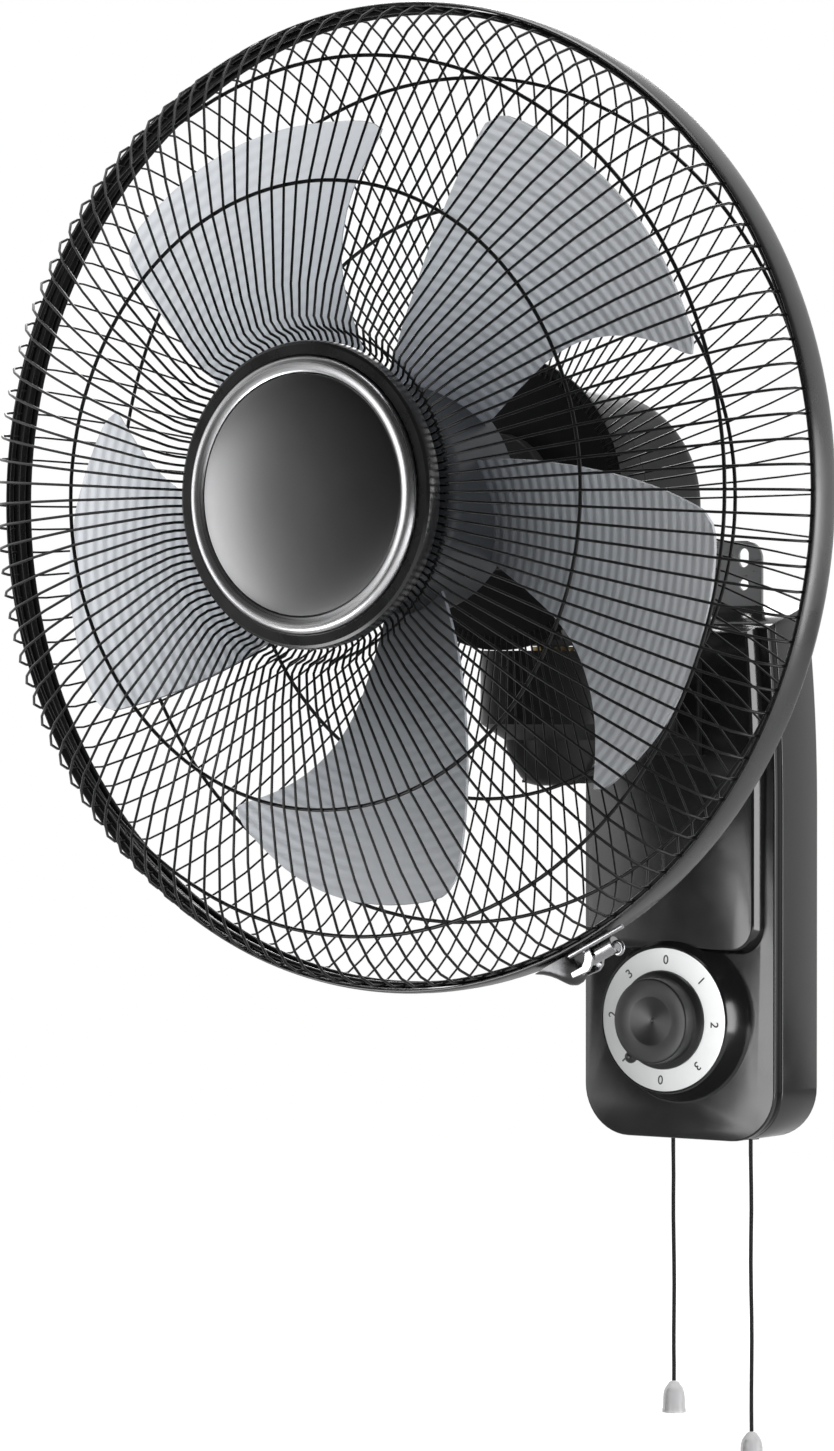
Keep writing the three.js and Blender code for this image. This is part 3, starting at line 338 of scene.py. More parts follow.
def turnedPiece(name, profile, centre, axis, body, material, replaced=(), steps=96):
    bm = turnedMesh(profile, Vector(centre), Vector(axis), steps)
    return addPiece(name, bm, body, material, replaced)


def closedProfile(points):
    return points + [points[0]]


def softened(node, body, material, width, shaping=None):
    # a copy of a CAD node with its edges rounded
    bm = bmesh.new()
    bm.from_mesh(frame["nodes"][node].data)
    if shaping:
        shaping(bm)
    bmesh.ops.remove_doubles(bm, verts=bm.verts, dist=mergeGap)
    bmesh.ops.dissolve_limit(bm, angle_limit=math.radians(1), verts=bm.verts, edges=bm.edges)
    cleanNormals(bm)
    softEdges(addPiece(node + "Soft", bm, body, material, (node,)), width)


def dress(node, material):
    # a CAD node that keeps its shape and gets a better finish
    mesh = frame["nodes"][node].data
    mesh.materials.clear()
    mesh.materials.append(material)


def newVerts(made):
    return [part for part in made if isinstance(part, bmesh.types.BMVert)]


def newEdges(made):
    return [part for part in made if isinstance(part, bmesh.types.BMEdge)]


def wholeMesh(bm):
    return bm.verts[:] + bm.edges[:] + bm.faces[:]


def repeatRound(bm, count):
    # what is in the mesh becomes count copies round the fan's axis
    bmesh.ops.spin(
        bm, geom=wholeMesh(bm), cent=ringCentre, axis=fanAxis, angle=math.tau * (count - 1) / count,
        steps=count - 1, use_duplicate=True, use_merge=False)


def sweepTube(bm, path, radius, sides, capped=True):
    # a round bar along a few points that lie in one plane; path and radius in metres
    ring = bmesh.ops.create_circle(bm, cap_ends=capped, segments=sides, radius=radius)["verts"]
    first = (path[1] - path[0]).normalized()
    turn = first.to_track_quat("Z", "Y").to_matrix().to_4x4()
    bmesh.ops.transform(bm, matrix=Matrix.Translation(path[0]) @ turn, verts=ring)
    edges = list({e for v in ring for e in v.link_edges})
    before = first
    for i in range(1, len(path)):
        made = bmesh.ops.extrude_edge_only(bm, edges=edges)["geom"]
        edges = newEdges(made)
        ahead = (path[min(i + 1, len(path) - 1)] - path[i - 1]).normalized()
        swing = before.rotation_difference(ahead).to_matrix().to_4x4()
        move = Matrix.Translation(path[i]) @ swing @ Matrix.Translation(-path[i - 1])
        bmesh.ops.transform(bm, matrix=move, verts=newVerts(made))
        before = ahead
    if capped:
        bmesh.ops.contextual_create(bm, geom=edges)


# exit is the height of the eyelets' lower ends, where the cords leave the case
pull = {
    "side": 21.6, "fromWall": 12, "diameter": 1.9, "exit": -126.3,
    "bellRadius": 5.6, "bellHeight": 14.7, "bellGap": 0.3,
}
# [sideways, height] from the switch down to the bell
speedRoute = [
    (0, -108.3), (0, -112), (0, -116), (0, -120), (0, -124), (0, -128), (0, -132), (0.1, -138),
    (0.2, -146), (0.1, -155), (0.1, -165), (0.3, -176), (0.5, -187), (0.6, -198), (0.5, -209),
    (0.4, -219), (0.4, -228), (0.5, -236), (0.5, -243.6),
]
swingRoute = [
    (0, -108.3), (0, -112), (0, -116), (0, -120), (0, -124), (0, -128), (0, -132), (0.1, -139),
    (0.3, -149), (0.4, -160), (0.2, -172), (0.1, -185), (0.3, -198), (0.6, -210), (0.7, -222),
    (0.6, -234), (0.5, -245), (0.5, -255), (0.6, -264.4),
]


def bellClear():
    material = newMaterial("bellClear", (0.26, 0.26, 0.265), 0.3, Alpha=0.55)
    bumpFrom(material, noiseOn(material, objectCoordinates(material), 500), 0.1, 0.0002)
    return material


def cordBraid():
    material = newMaterial("cordBraid", (0.012, 0.012, 0.012), 0.85)
    tree = material.node_tree
    strands = []
    for lean in (1, -1):
        place = objectCoordinates(material, (1600 * lean, 300, 900))
        strands.append(addNode(tree, "TexWave", {"Vector": place, "Scale": 0.35}, bands_direction="DIAGONAL"))
    crossed = addNode(tree, "Math", {
        0: strands[0].outputs["Fac"], 1: strands[1].outputs["Fac"],
    }, operation="MULTIPLY").outputs[0]
    bumpFrom(material, crossed, 0.6, 0.0004)
    ramp = colourRamp(material, crossed, (0.002, 0.002, 0.002), (0.01, 0.01, 0.01))
    feed(material, "Base Color", ramp.outputs["Color"])
    return material


bellPlastic = bellClear()
braid = cordBraid()


def makePull(name, side, route):
    x = side * pull["side"]
    body = name + "_pull"
    points = [Vector(((x + offset) * mm, -pull["fromWall"] * mm, z * mm)) for offset, z in route]
    line = bpy.data.curves.new(name + "Cord", "CURVE")
    line.dimensions = "3D"
    line.bevel_depth = pull["diameter"] / 2 * mm
    line.bevel_resolution = 3
    line.use_fill_caps = True
    spline = line.splines.new("POLY")
    spline.points.add(len(points) - 1)
    for point, place in zip(spline.points, points):
        point.co = (*place, 1)
    line.materials.append(braid)
    cord = bpy.data.objects.new(name + "Cord", line)
    bpy.context.scene.collection.objects.link(cord)
    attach(cord, body)
    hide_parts(name + "_cord")

    endX, endZ = x + route[-1][0], route[-1][1] - pull["bellGap"]
    height, wide = pull["bellHeight"], pull["bellRadius"]
    profile = [
        (0, 0), (1.6, 0), (2.4, -0.6), (2.9, -1.4), (3.7, -2.4), (4.5, -3.8), (4.95, -5.5),
        (5.15, -7.5), (wide - 0.25, -height + 2), (wide, -height + 1.2), (wide, -height),
        (wide - 1, -height), (wide - 1.2, -height + 1.6), (4, -6), (3, -3.6), (0, -3.2),
    ]
    bell = turnedPiece(
        name + "Bell", profile, (endX * mm, -pull["fromWall"] * mm, endZ * mm), upAxis,
        body, bellPlastic, (name + "_bell",), steps=48)


makePull("speed", -1, speedRoute)
makePull("swing", 1, swingRoute)
print("pull cords hang")


# heights are z, and back, seam and the faces are y; between the two depths in matt the cover turns from
# glossy to matt, so its side wall stays dark as painted shade in the groove before the housing; overlap is
# how far a cutting tool reaches past what it cuts, and sunk how far the panel and the boss start inside
# the cover
case = {
    "width": 105, "bottom": -125, "top": 126, "corner": 24, "topCorner": 6, "topInset": 5,
    "taperStart": 30, "topFall": 13.3 / 49, "wall": 2.2, "back": -1.9, "seam": -34.5,
    "coverBack": -34.8, "coverFace": -41.5, "panelFace": -49, "panelSide": 5.5,
    "panelBottom": -37.6, "panelCorner": 13, "panelTopCorner": 3, "panelDraft": 1.7,
    "matt": (-39.4, -38.6),
    "cordHole": 3, "inletHole": 5.3, "drillDepth": 8, "overlap": 2, "sunk": 0.4,
    "screwHole": 3.5, "screwDepth": 6, "screwPlace": -4,
    "screws": ((-40, -94), (40, -94), (-38, 86), (38, 86)),
    "backEdge": 1.6, "seamEdge": 0.7, "slopeEdge": 1.4, "slopeFrom": 110, "faceEdge": 2.6,
    "coverEdge": 0.5, "panelEdge": 1.2,
}
boss = {
    "height": -68.5, "face": -55, "radius": 34.9, "draft": 3.6, "recess": 33.8, "recessDepth": 1.2,
    "floor": 1.8, "bore": 3.6,
}


def shellGloss():
    # glossy, but the cover's narrow side wall is left matt, so it stays dark as painted shade in the groove
    # between cover and housing
    material = mouldedPlastic("shellGloss", pianoBlack, 0.16, orangePeel)
    tree = material.node_tree
    split = addNode(tree, "SeparateXYZ", {0: objectCoordinates(material)})
    front, back = case["matt"]
    grooveShade = addNode(tree, "MapRange", {
        "Value": split.outputs["Y"], "From Min": front * mm, "From Max": back * mm,
        "To Min": 0.5, "To Max": 0.04,
    }, interpolation_type="SMOOTHSTEP")
    feed(material, "Specular IOR Level", grooveShade.outputs["Result"])
    return material


coverGloss = shellGloss()


def arcPoints(x, z, radius, start, end, steps):
    angles = [math.radians(start + (end - start) * i / steps) for i in range(steps + 1)]
    return [(x + radius * math.cos(a), z + radius * math.sin(a)) for a in angles]


def taperPoints(side, topSide, top, steps=14):
    # the side bends inwards towards the top
    low, bend = case["taperStart"], (case["taperStart"] + case["top"]) / 2
    made = []
    for i in range(1, steps):
        t = i / steps
        x = (1 - t) ** 2 * side + 2 * t * (1 - t) * side + t * t * topSide
        z = (1 - t) ** 2 * low + 2 * t * (1 - t) * bend + t * t * top
        made.append((x, z))
    return made


def caseOutline(bottom, side, corner, topCorner):
    topSide, top = side - case["topInset"], case["top"]
    right = arcPoints(side - corner, bottom + corner, corner, -90, 0, 12)
    right += [(side, case["taperStart"])]
    right += taperPoints(side, topSide, top - topCorner)
    right += arcPoints(topSide - topCorner, top - topCorner, topCorner, 0, 90, 8)
    return right + [(-x, z) for x, z in right[::-1]]


def slabMesh(outline, back, front):
    bm = bmesh.new()
    for x, z in outline:
        bm.verts.new((x * mm, back * mm, z * mm))
    bmesh.ops.remove_doubles(bm, verts=bm.verts, dist=mergeGap)
    face = bm.faces.new(bm.verts[:])
    made = bmesh.ops.extrude_face_region(bm, geom=[face])["geom"]
    bmesh.ops.translate(bm, vec=(0, (front - back) * mm, 0), verts=newVerts(made))
    cleanNormals(bm)
    return bm


def cutSlope(bm, drop=0.0):
    # the top of the case slopes down from the wall to the panel
    made = bmesh.ops.bisect_plane(
        bm, geom=wholeMesh(bm), plane_co=(0, 0, (case["top"] - drop) * mm),
        plane_no=Vector((0, -case["topFall"], 1)).normalized(), clear_outer=True)
    bmesh.ops.contextual_create(bm, geom=newEdges(made["geom_cut"]))
    cleanNormals(bm)


def bevelWhere(bm, test, width, segments=4):
    # rounds the edges that turn by more than half a radian and whose middles pass the test
    edges = [
        e for e in bm.edges
        if e.is_manifold and e.calc_face_angle(0) > 0.5 and test((e.verts[0].co + e.verts[1].co) / 2)]
    bmesh.ops.bevel(
        bm, geom=edges, offset=width * mm, segments=segments, profile=0.5, affect="EDGES",
        clamp_overlap=True, material=-1)


def near(value, target, slack=0.4):
    # value in metres
    return abs(value - target * mm) < slack * mm


def drillMesh(centre, radius, depth, axis="Z"):
    bm = bmesh.new()
    bmesh.ops.create_cone(
        bm, cap_ends=True, segments=48, radius1=radius * mm, radius2=radius * mm, depth=depth * mm)
    if axis == "Y":
        bmesh.ops.rotate(bm, matrix=Matrix.Rotation(math.pi / 2, 3, "X"), verts=bm.verts)
    bmesh.ops.translate(bm, vec=Vector(centre) * mm, verts=bm.verts)
    return bm


def cutAway(piece, tools):
    # takes each tool's shape out of the piece
    material = piece.data.materials[0]
    spent = []
    for bm in tools:
        mesh = bpy.data.meshes.new("tool")
        bm.to_mesh(mesh)
        bm.free()
        tool = bpy.data.objects.new("tool", mesh)
        bpy.context.scene.collection.objects.link(tool)
        step = piece.modifiers.new("cut", "BOOLEAN")
        step.operation = "DIFFERENCE"
        step.solver = "EXACT"
        step.object = tool
        spent.append(tool)
    graph = bpy.context.evaluated_depsgraph_get()
    old, piece.data = piece.data, bpy.data.meshes.new_from_object(piece.evaluated_get(graph))
    piece.modifiers.clear()
    bpy.data.meshes.remove(old)
    for tool in spent:
        mesh = tool.data
        bpy.data.objects.remove(tool)
        bpy.data.meshes.remove(mesh)
    piece.data.materials.clear()
    piece.data.materials.append(material)
    piece.data.shade_smooth()
    piece.data.set_sharp_from_angle(angle=math.radians(30))


def caseHollow(bottom, side, corner, back, front):
    # the room inside a shell that has the given outline
    wall = case["wall"]
    bm = slabMesh(caseOutline(bottom + wall, side - wall, corner - wall, 2), back, front)
    cutSlope(bm, wall)
    return bm


def makeHousing():
    side, back, seam = case["width"] / 2, case["back"], case["seam"]
    bm = slabMesh(caseOutline(case["bottom"], side, case["corner"], case["topCorner"]), back, seam)
    cutSlope(bm)
    bevelWhere(bm, lambda p: near(p.y, back), case["backEdge"])
    bevelWhere(bm, lambda p: near(p.y, seam), case["seamEdge"], 3)
    bevelWhere(bm, lambda p: p.z > case["slopeFrom"] * mm, case["slopeEdge"], 3)
    housing = addPiece("rearHousing", bm, "wall_unit", caseGloss, ("rear_housing",))
    tools = [caseHollow(case["bottom"], side, case["corner"], back - case["wall"], seam - case["overlap"])]
    for x, radius in (
        (-pull["side"], case["cordHole"]), (pull["side"], case["cordHole"]), (0, case["inletHole"]),
    ):
        tools.append(drillMesh((x, -pull["fromWall"], case["bottom"]), radius, case["drillDepth"]))
    for x, z in case["screws"]:
        tools.append(drillMesh((x, case["screwPlace"], z), case["screwHole"], case["screwDepth"], "Y"))
    cutAway(housing, tools)


def makeCover():
    side, wall, face, back = case["width"] / 2, case["wall"], case["coverFace"], case["coverBack"]
    panelSide, panelFace, draft = side - case["panelSide"], case["panelFace"], case["panelDraft"]
    panelBottom, panelCorner, overlap = case["panelBottom"], case["panelCorner"], case["overlap"]
    bm = slabMesh(caseOutline(case["bottom"], side, case["corner"], case["topCorner"]), back, face)
    cutSlope(bm)
    bevelWhere(bm, lambda p: near(p.y, face), case["faceEdge"], 5)
    bevelWhere(bm, lambda p: near(p.y, back), case["coverEdge"], 3)
    base = addPiece("coverBase", bm, "wall_unit", coverGloss, ("front_cover",))
    cutAway(base, [
        caseHollow(case["bottom"], side, case["corner"], back + overlap, face + wall),
        caseHollow(panelBottom, panelSide, panelCorner, face + wall + overlap, face - overlap),
        drillMesh((0, face, boss["height"]), boss["radius"] - wall, case["drillDepth"], "Y"),
    ])
    outline = caseOutline(panelBottom, panelSide, panelCorner, case["panelTopCorner"])
    bm = slabMesh(outline, face + case["sunk"], panelFace)
    for vertex in bm.verts:
        if near(vertex.co.y, panelFace):
            vertex.co.x *= 1 - draft / panelSide
            vertex.co.z += draft * mm * (vertex.co.z < 0)
    cutSlope(bm)
    bevelWhere(bm, lambda p: near(p.y, panelFace), case["panelEdge"])
    panel = addPiece("coverPanel", bm, "wall_unit", caseGloss)
    cutAway(panel, [caseHollow(panelBottom, panelSide, panelCorner, face + overlap, panelFace + wall)])


def makeDialBoss():
    # the profile runs from the boss's foot over its lip, down into the dial's recess and back inside
    rise = case["coverFace"] - boss["face"]
    foot, lip, recess, bore = boss["radius"] + boss["draft"], boss["radius"], boss["recess"], boss["bore"]
    floor, start = rise - boss["recessDepth"], -case["sunk"]
    under = floor - boss["floor"]
    turnedPiece("dialBoss", closedProfile([
        (foot + 2.2, start), (foot + 0.9, 0.35), (foot + 0.15, 1.4), (foot - 0.1, 3),
        (lip + 0.35, rise - 2.2), (lip + 0.1, rise - 0.9), (lip - 0.35, rise - 0.25), (lip - 1, rise),
        (recess + 0.4, rise),
        (recess, rise - 0.3), (recess, floor), (bore, floor), (bore, under), (lip - 2.6, under),
        (foot - 2.2, start),
    ]), (0, case["coverFace"] * mm, boss["height"] * mm), fanAxis, "wall_unit", caseGloss,
        steps=160)


makeHousing()
makeCover()
makeDialBoss()
softened("wall_plate", "wall_unit", zincPlate, 0.4)
print("case is made")


# digits are [degrees round the dial, digit]; the pointer is [degrees, distance from the middle, rise, radius]
dial = {
    "centre": Vector(jointPlace["knob_turn"]), "outer": 33.5, "inner": 9, "thick": 0.9,
    "digitRadius": 28, "digitSize": 6, "digitThick": 0.06, "digitBold": 0.08, "digitRise": 0.02,
    "digits": ((87, "0"), (42, "1"), (-3, "2"), (-48, "3"), (-93, "0"), (-138, "1"), (-183, "2"), (132, "3")),
}
knob = {
    "base": 23.2, "radius": 20, "rise": 11, "start": 0.6, "dish": 11.2, "dishDepth": 2.1,
    "pointer": (-131, 23.6, 3.6, 3),
}


def onDial(angle, radius, rise):
    turn = math.radians(angle)
    return dial["centre"] + Vector((math.cos(turn), 0, math.sin(turn))) * radius * mm + fanAxis * rise * mm


def digitMesh(digit):
    line = bpy.data.curves.new("digit", "FONT")
    line.body = digit
    line.size = dial["digitSize"] * mm
    line.extrude = dial["digitThick"] * mm
    line.offset = dial["digitBold"] * mm
    line.align_x, line.align_y = "CENTER", "CENTER"
    text = bpy.data.objects.new("digit", line)
    bpy.context.scene.collection.objects.link(text)
    bpy.context.view_layer.update()
    mesh = bpy.data.meshes.new_from_object(text.evaluated_get(bpy.context.evaluated_depsgraph_get()))
    bpy.data.objects.remove(text)
    bm = bmesh.new()
    bm.from_mesh(mesh)
    bpy.data.meshes.remove(mesh)
    return bm


def makeDial():
    outer, inner, thick = dial["outer"], dial["inner"], dial["thick"]
    turnedPiece("dialRing", closedProfile([
        (inner, -thick), (outer, -thick), (outer, -0.15), (outer - 0.3, 0), (inner, 0),
    ]), dial["centre"], fanAxis, "wall_unit", dialWhite, ("dial_ring",), steps=128)
    for i, (angle, digit) in enumerate(dial["digits"]):
        bm = digitMesh(digit)
        upright = Matrix.Rotation(math.pi / 2, 4, "X")
        turned = Matrix.Rotation(-(math.radians(angle) - math.pi / 2), 4, "Y")
        spot = Matrix.Translation(onDial(angle, dial["digitRadius"], dial["digitRise"]))
        bmesh.ops.transform(bm, matrix=spot @ turned @ upright, verts=bm.verts)
        addPiece("digit" + str(i + 1), bm, "wall_unit", digitInk)


def makeKnob():
    base, radius, dish, start = knob["base"], knob["radius"], knob["dish"], knob["start"]
    top = start + knob["rise"]
    floor = top - knob["dishDepth"]
    turnedPiece("speedKnob", [
        (0, start), (base - 0.3, start), (base, start + 0.3), (base, start + 1.3), (base - 0.5, start + 2),
        (radius + 1, start + 2.6), (radius + 0.4, start + 3.2), (radius + 0.1, start + 4.5),
        (radius, top - 1.2), (radius - 0.15, top - 0.4), (radius - 0.5, top - 0.1), (radius - 1, top),
        (dish + 0.6, top), (dish - 0.1, top - 0.14), (dish - 1, top - 0.45), (2.2, floor + 0.2), (1.0, floor),
        (0.7, floor - 0.3), (0, floor - 0.4),
    ], dial["centre"], fanAxis, "knob", knobGloss, ("speed_knob",), steps=128)
    angle, out, rise, ball = knob["pointer"]
    bm = bmesh.new()
    bmesh.ops.create_uvsphere(bm, u_segments=32, v_segments=20, radius=ball * mm)
    bmesh.ops.translate(bm, vec=onDial(angle, out, rise), verts=bm.verts)
    addPiece("knobPointer", bm, "knob", knobGloss)


makeDial()
makeKnob()
print("dial is made")


# profiles and rings are [radius, distance forward of the rim's plane]; a ring may add its own thickness
guard = {
    "wires": 126, "frontWire": 0.65, "rearWire": 0.5, "sides": 5, "ringWire": 0.85, "rimWire": 1.45,
    "front": [
        (60, 60.8), (66.5, 60.8), (70, 63.5), (72, 69), (76, 71.9), (90, 71.5), (134, 63), (164, 51.5),
        (189, 39), (200, 30.5), (208, 21.5), (212, 12.5), (211.6, 4.2)],
    "rear": [
        (60, -76.4), (98, -71.5), (132, -64), (160, -54), (186, -42), (198, -31), (206, -20.5),
        (211.2, -12), (211.5, -4.2)],
    "frontRings": ((134, 61.7), (189, 37.8), (60, 61, 1.6)),
    "rearRings": ((132, -62.8), (186, -40.8)),
    "rim": (211.5, 4.2),
    "rearPlate": [
        (19.4, -78.7), (60, -78.7), (62, -78.5), (63, -77.6), (66, -77.3), (66, -75.8), (62.4, -76),
        (61, -76.9), (30, -76.9), (28.5, -75.2), (19.4, -75.2)],
}
band = {"outer": 215.3, "inner": 213.3, "half": 8.5}


def onAxis(radius, forward, angle=0.0):
    out = Vector((math.cos(angle), 0, math.sin(angle)))
    return ringCentre + out * radius * mm + fanAxis * forward * mm


def addRing(bm, radius, forward, thick=guard["ringWire"]):
    made = bmesh.new()
    circle = bmesh.ops.create_circle(made, segments=10, radius=thick * mm)["verts"]
    bmesh.ops.transform(made, matrix=Matrix.Translation(onAxis(radius, forward)), verts=circle)
    bmesh.ops.spin(
        made, geom=made.verts[:] + made.edges[:], cent=ringCentre, axis=fanAxis, angle=math.tau,
        steps=160, use_merge=True)
    bmesh.ops.remove_doubles(made, verts=made.verts, dist=mergeGap)
    cleanNormals(made)
    mesh = bpy.data.meshes.new("ring")
    made.to_mesh(mesh)
    made.free()
    bm.from_mesh(mesh)
    bpy.data.meshes.remove(mesh)


def makeGuard(side, facing):
    # side is front or rear; facing is 1 forwards and -1 backwards
    bm = bmesh.new()
    path = [onAxis(radius, forward) for radius, forward in guard[side]]
    sweepTube(bm, path, guard[side + "Wire"] * mm, guard["sides"], capped=False)
    repeatRound(bm, guard["wires"])
    cleanNormals(bm)
    for ring in guard[side + "Rings"]:
        addRing(bm, *ring)
    rimRadius, rimForward = guard["rim"]
    addRing(bm, rimRadius, facing * rimForward, guard["rimWire"])
    addPiece(side + "Guard", bm, "head", wireCoat, (side + "_guard",), sharp=80)


def makeBand():
    outer, inner, half = band["outer"], band["inner"], band["half"]
    rearHalf = [
        (inner, -half + 0.4), (inner + 0.4, -half), (outer - 1.2, -half), (outer - 0.8, -half + 0.5),
        (outer - 0.45, -half + 2.2), (outer - 0.12, -half + 4.6), (outer, 0)]
    frontHalf = [(radius, -forward) for radius, forward in rearHalf[-2::-1]]
    turnedPiece(
        "rimBand", closedProfile(rearHalf + frontHalf), ringCentre, fanAxis, "head", bandGloss,
        ("rim_band",), steps=240)


makeGuard("front", 1)
makeGuard("rear", -1)
turnedPiece(
    "rearGuardPlate", closedProfile(guard["rearPlate"]), ringCentre, fanAxis, "head", motorPaint)
makeBand()
print("guards are made")


# profiles are [radius, distance forward of the rim's plane]
badge = {
    "base": [
        (0, 63.2), (63.8, 63.2), (65, 63.6), (65.7, 65), (65.7, 69.8), (65.2, 71.2), (64, 72),
        (59.9, 72), (59.4, 71.6), (59.4, 67), (0, 67)],
    "ring": [
        (52, 67.3), (59.1, 67.3), (59.1, 71.9), (58.9, 72.8), (58.3, 73.8), (57.6, 74.5), (56.8, 74.8),
        (55, 74.7), (53.6, 74.35), (52.6, 73.9), (52.1, 73.4), (52, 73)],
    "disc": [
        (0, 67.3), (51.7, 67.3), (51.7, 73.0), (51.3, 73.5), (49, 74.15), (44, 75.05), (38, 75.85),
        (31, 76.55), (23, 77.1), (14, 77.45), (6, 77.58), (0, 77.6)],
}


def satinRingMetal():
    # fine marks run round the ring, as from a lathe
    material = newMaterial("satinRing", (0.6, 0.6, 0.61), 0.3, metallic=1.0)
    marks = addNode(material.node_tree, "TexNoise", {
        "W": distanceFromAxis(material), "Scale": 2600,
    }, noise_dimensions="1D")
    roughnessFrom(material, marks.outputs["Fac"], 0.24, 0.4)
    bumpFrom(material, marks.outputs["Fac"], 0.15, 0.0001)
    return material


def smokedDisc():
    material = newMaterial("smokedDisc", (0.22, 0.22, 0.223), 0.3, metallic=1.0)
    place = objectCoordinates(material)
    roughnessFrom(material, noiseOn(material, place, 300), 0.29, 0.31)
    bumpFrom(material, noiseOn(material, place, 2400), 0.02, 0.00005)
    return material


def makeBadge():
    for name, profile, material, slot in (
        ("Base", badge["base"], bandGloss, "band_black"),
        ("Ring", closedProfile(badge["ring"]), satinRingMetal(), "satin_silver"),
        ("Disc", badge["disc"], smokedDisc(), "badge_dark"),
    ):
        turnedPiece(
            "badge" + name, profile, ringCentre, fanAxis, "head", material, ("badge_" + name.lower(),),
            steps=128)


makeBadge()
print("badge is made")


# the edges are [radius, degrees from the blade's middle line], and the tip's rows are
# [share of the way across, radius there]; first is the first blade's place in degrees, rake and pitch
# carry a blade forwards as it goes out and round, and a rib is as wide as the gap beside it
blade = {
    "count": 5, "first": 49, "root": 48, "hub": 50, "tip": 176, "thick": 1.3, "forward": -5, "rake": 20.5,
    "pitch": 22, "rib": 2.4, "ribDepth": 0.6, "alpha": 0.985,
    "rootColour": (0.055, 0.06, 0.07), "midColour": (0.4, 0.425, 0.455), "tipColour": (0.63, 0.65, 0.68),
    "leading": [
        (48, -10.6), (70, -10.1), (90, -10.6), (100, -11.5), (110, -13), (120, -15.2), (130, -17.8),
        (140, -20.9), (150, -24.4), (160, -27.9), (177, -27.9)],
    "trailing": [
        (48, 41.4), (60, 38), (70, 35.5), (90, 31.4), (110, 28.2), (130, 25.5), (150, 22.9), (177, 19.2)],
    "tipLine": [
        (0, 161), (0.02, 163.4), (0.06, 165.6), (0.17, 168.2), (0.31, 171.6), (0.47, 174.4), (0.6, 175.6),
        (0.75, 176), (0.9, 176), (0.95, 175.4), (0.98, 173.6), (1, 169)],
}


def bladeTint():
    material = newMaterial(
        "bladeTint", (0.3, 0.34, 0.38), 0.5, Alpha=blade["alpha"], Specular_IOR_Level=0.2)
    tree = material.node_tree
    radius = distanceFromAxis(material)
    # painted darker towards the root: partly the blades' own tint, partly painted shade
    fade = addNode(tree, "MapRange", {
        "Value": radius, "From Min": blade["root"] * mm, "From Max": blade["tip"] * mm})
    ramp = colourRamp(material, fade.outputs["Result"], blade["rootColour"], blade["tipColour"])
    ramp.color_ramp.elements.new(0.45).color = (*blade["midColour"], 1)
    # painted shade: the narrow edges, which turn away from the fan's axis, are painted darker than the faces
    where = addNode(tree, "TexCoord", {})
    split = addNode(tree, "SeparateXYZ", {0: where.outputs["Normal"]})
    facing = addNode(tree, "Math", {0: split.outputs["Y"]}, operation="ABSOLUTE")
    edgeShade = addNode(tree, "MapRange", {
        "Value": facing.outputs[0], "From Min": 0.2, "From Max": 0.8, "To Min": 0.25})
    shaded = addNode(tree, "VectorMath", {
        0: ramp.outputs["Color"], "Scale": edgeShade.outputs["Result"],
    }, operation="SCALE")
    feed(material, "Base Color", shaded.outputs[0])
    # stripes round the axis; a wave texture repeats every pi / 10 over its scale
    spacer = addNode(tree, "CombineXYZ", {"X": radius})
    ribs = addNode(tree, "TexWave", {
        "Vector": spacer.outputs[0], "Scale": math.pi / 10 / (2 * blade["rib"] * mm), "Distortion": 0.0,
    }, wave_type="BANDS", bands_direction="X")
    bumpFrom(material, ribs.outputs["Fac"], 0.3, blade["ribDepth"] * mm)
    return material


def between(table, value):
    for (a, first), (b, second) in zip(table, table[1:]):
        if value <= b:
            return first + (second - first) * max(0, (value - a) / (b - a))
    return table[-1][1]


def makeBlades():
    root, hub, tip, thick = blade["root"], blade["hub"], blade["tip"], blade["thick"]
    bm = bmesh.new()
    bmesh.ops.create_grid(bm, x_segments=36, y_segments=40, size=1)
    for vertex in bm.verts:
        out, across = (vertex.co.x + 1) / 2, (vertex.co.y + 1) / 2
        radius = root + out * (between(blade["tipLine"], across) - root)
        low, high = between(blade["leading"], radius), between(blade["trailing"], radius)
        angle = math.radians(low + across * (high - low))
        risen = max(radius - hub, 0) / (tip - hub)
        forward = blade["forward"] + blade["rake"] * risen ** 1.5 + blade["pitch"] * angle
        vertex.co = onAxis(radius, forward, angle)
    turn = Matrix.Rotation(-math.radians(blade["first"]), 3, "Y")
    bmesh.ops.rotate(bm, cent=ringCentre, matrix=turn, verts=bm.verts)
    cleanNormals(bm)
    bmesh.ops.solidify(bm, geom=bm.faces[:], thickness=thick * mm)
    bmesh.ops.translate(bm, vec=fanAxis * thick / 2 * mm, verts=bm.verts)
    repeatRound(bm, blade["count"])
    cleanNormals(bm)
    addPiece("blades", bm, "rotor", bladeTint(), ("blade_rotor",), sharp=50)


# profiles are [radius, distance forward of the rim's plane]
hub = {
    "shell": [
        (47.6, -16), (49.4, -16), (50, -15.4), (50, 24), (49.6, 26.4), (48.4, 28.4), (46.4, 29.6),
        (44, 30), (4.3, 30), (4.3, 6), (10, 6), (10, 27.6), (45, 27.6), (47, 26.6), (47.6, 25)],
    "nut": [
        (4.3, 30.3), (13.6, 30.3), (14, 30.8), (14, 33), (12.6, 33.6), (12.2, 36), (11.6, 42),
        (10.6, 44.4), (8.6, 45.3), (0, 45.3), (0, 44.3), (4.3, 44.3), (4.3, 30.3)],
}


def makeHub():
    turnedPiece(
        "bladeHub", closedProfile(hub["shell"]), ringCentre, fanAxis, "rotor", hubPlastic)
    turnedPiece(
        "bladeNut", hub["nut"], ringCentre, fanAxis, "rotor", mattBlack, ("blade_nut",),
        steps=64)


makeBlades()
makeHub()
print("blades are made")


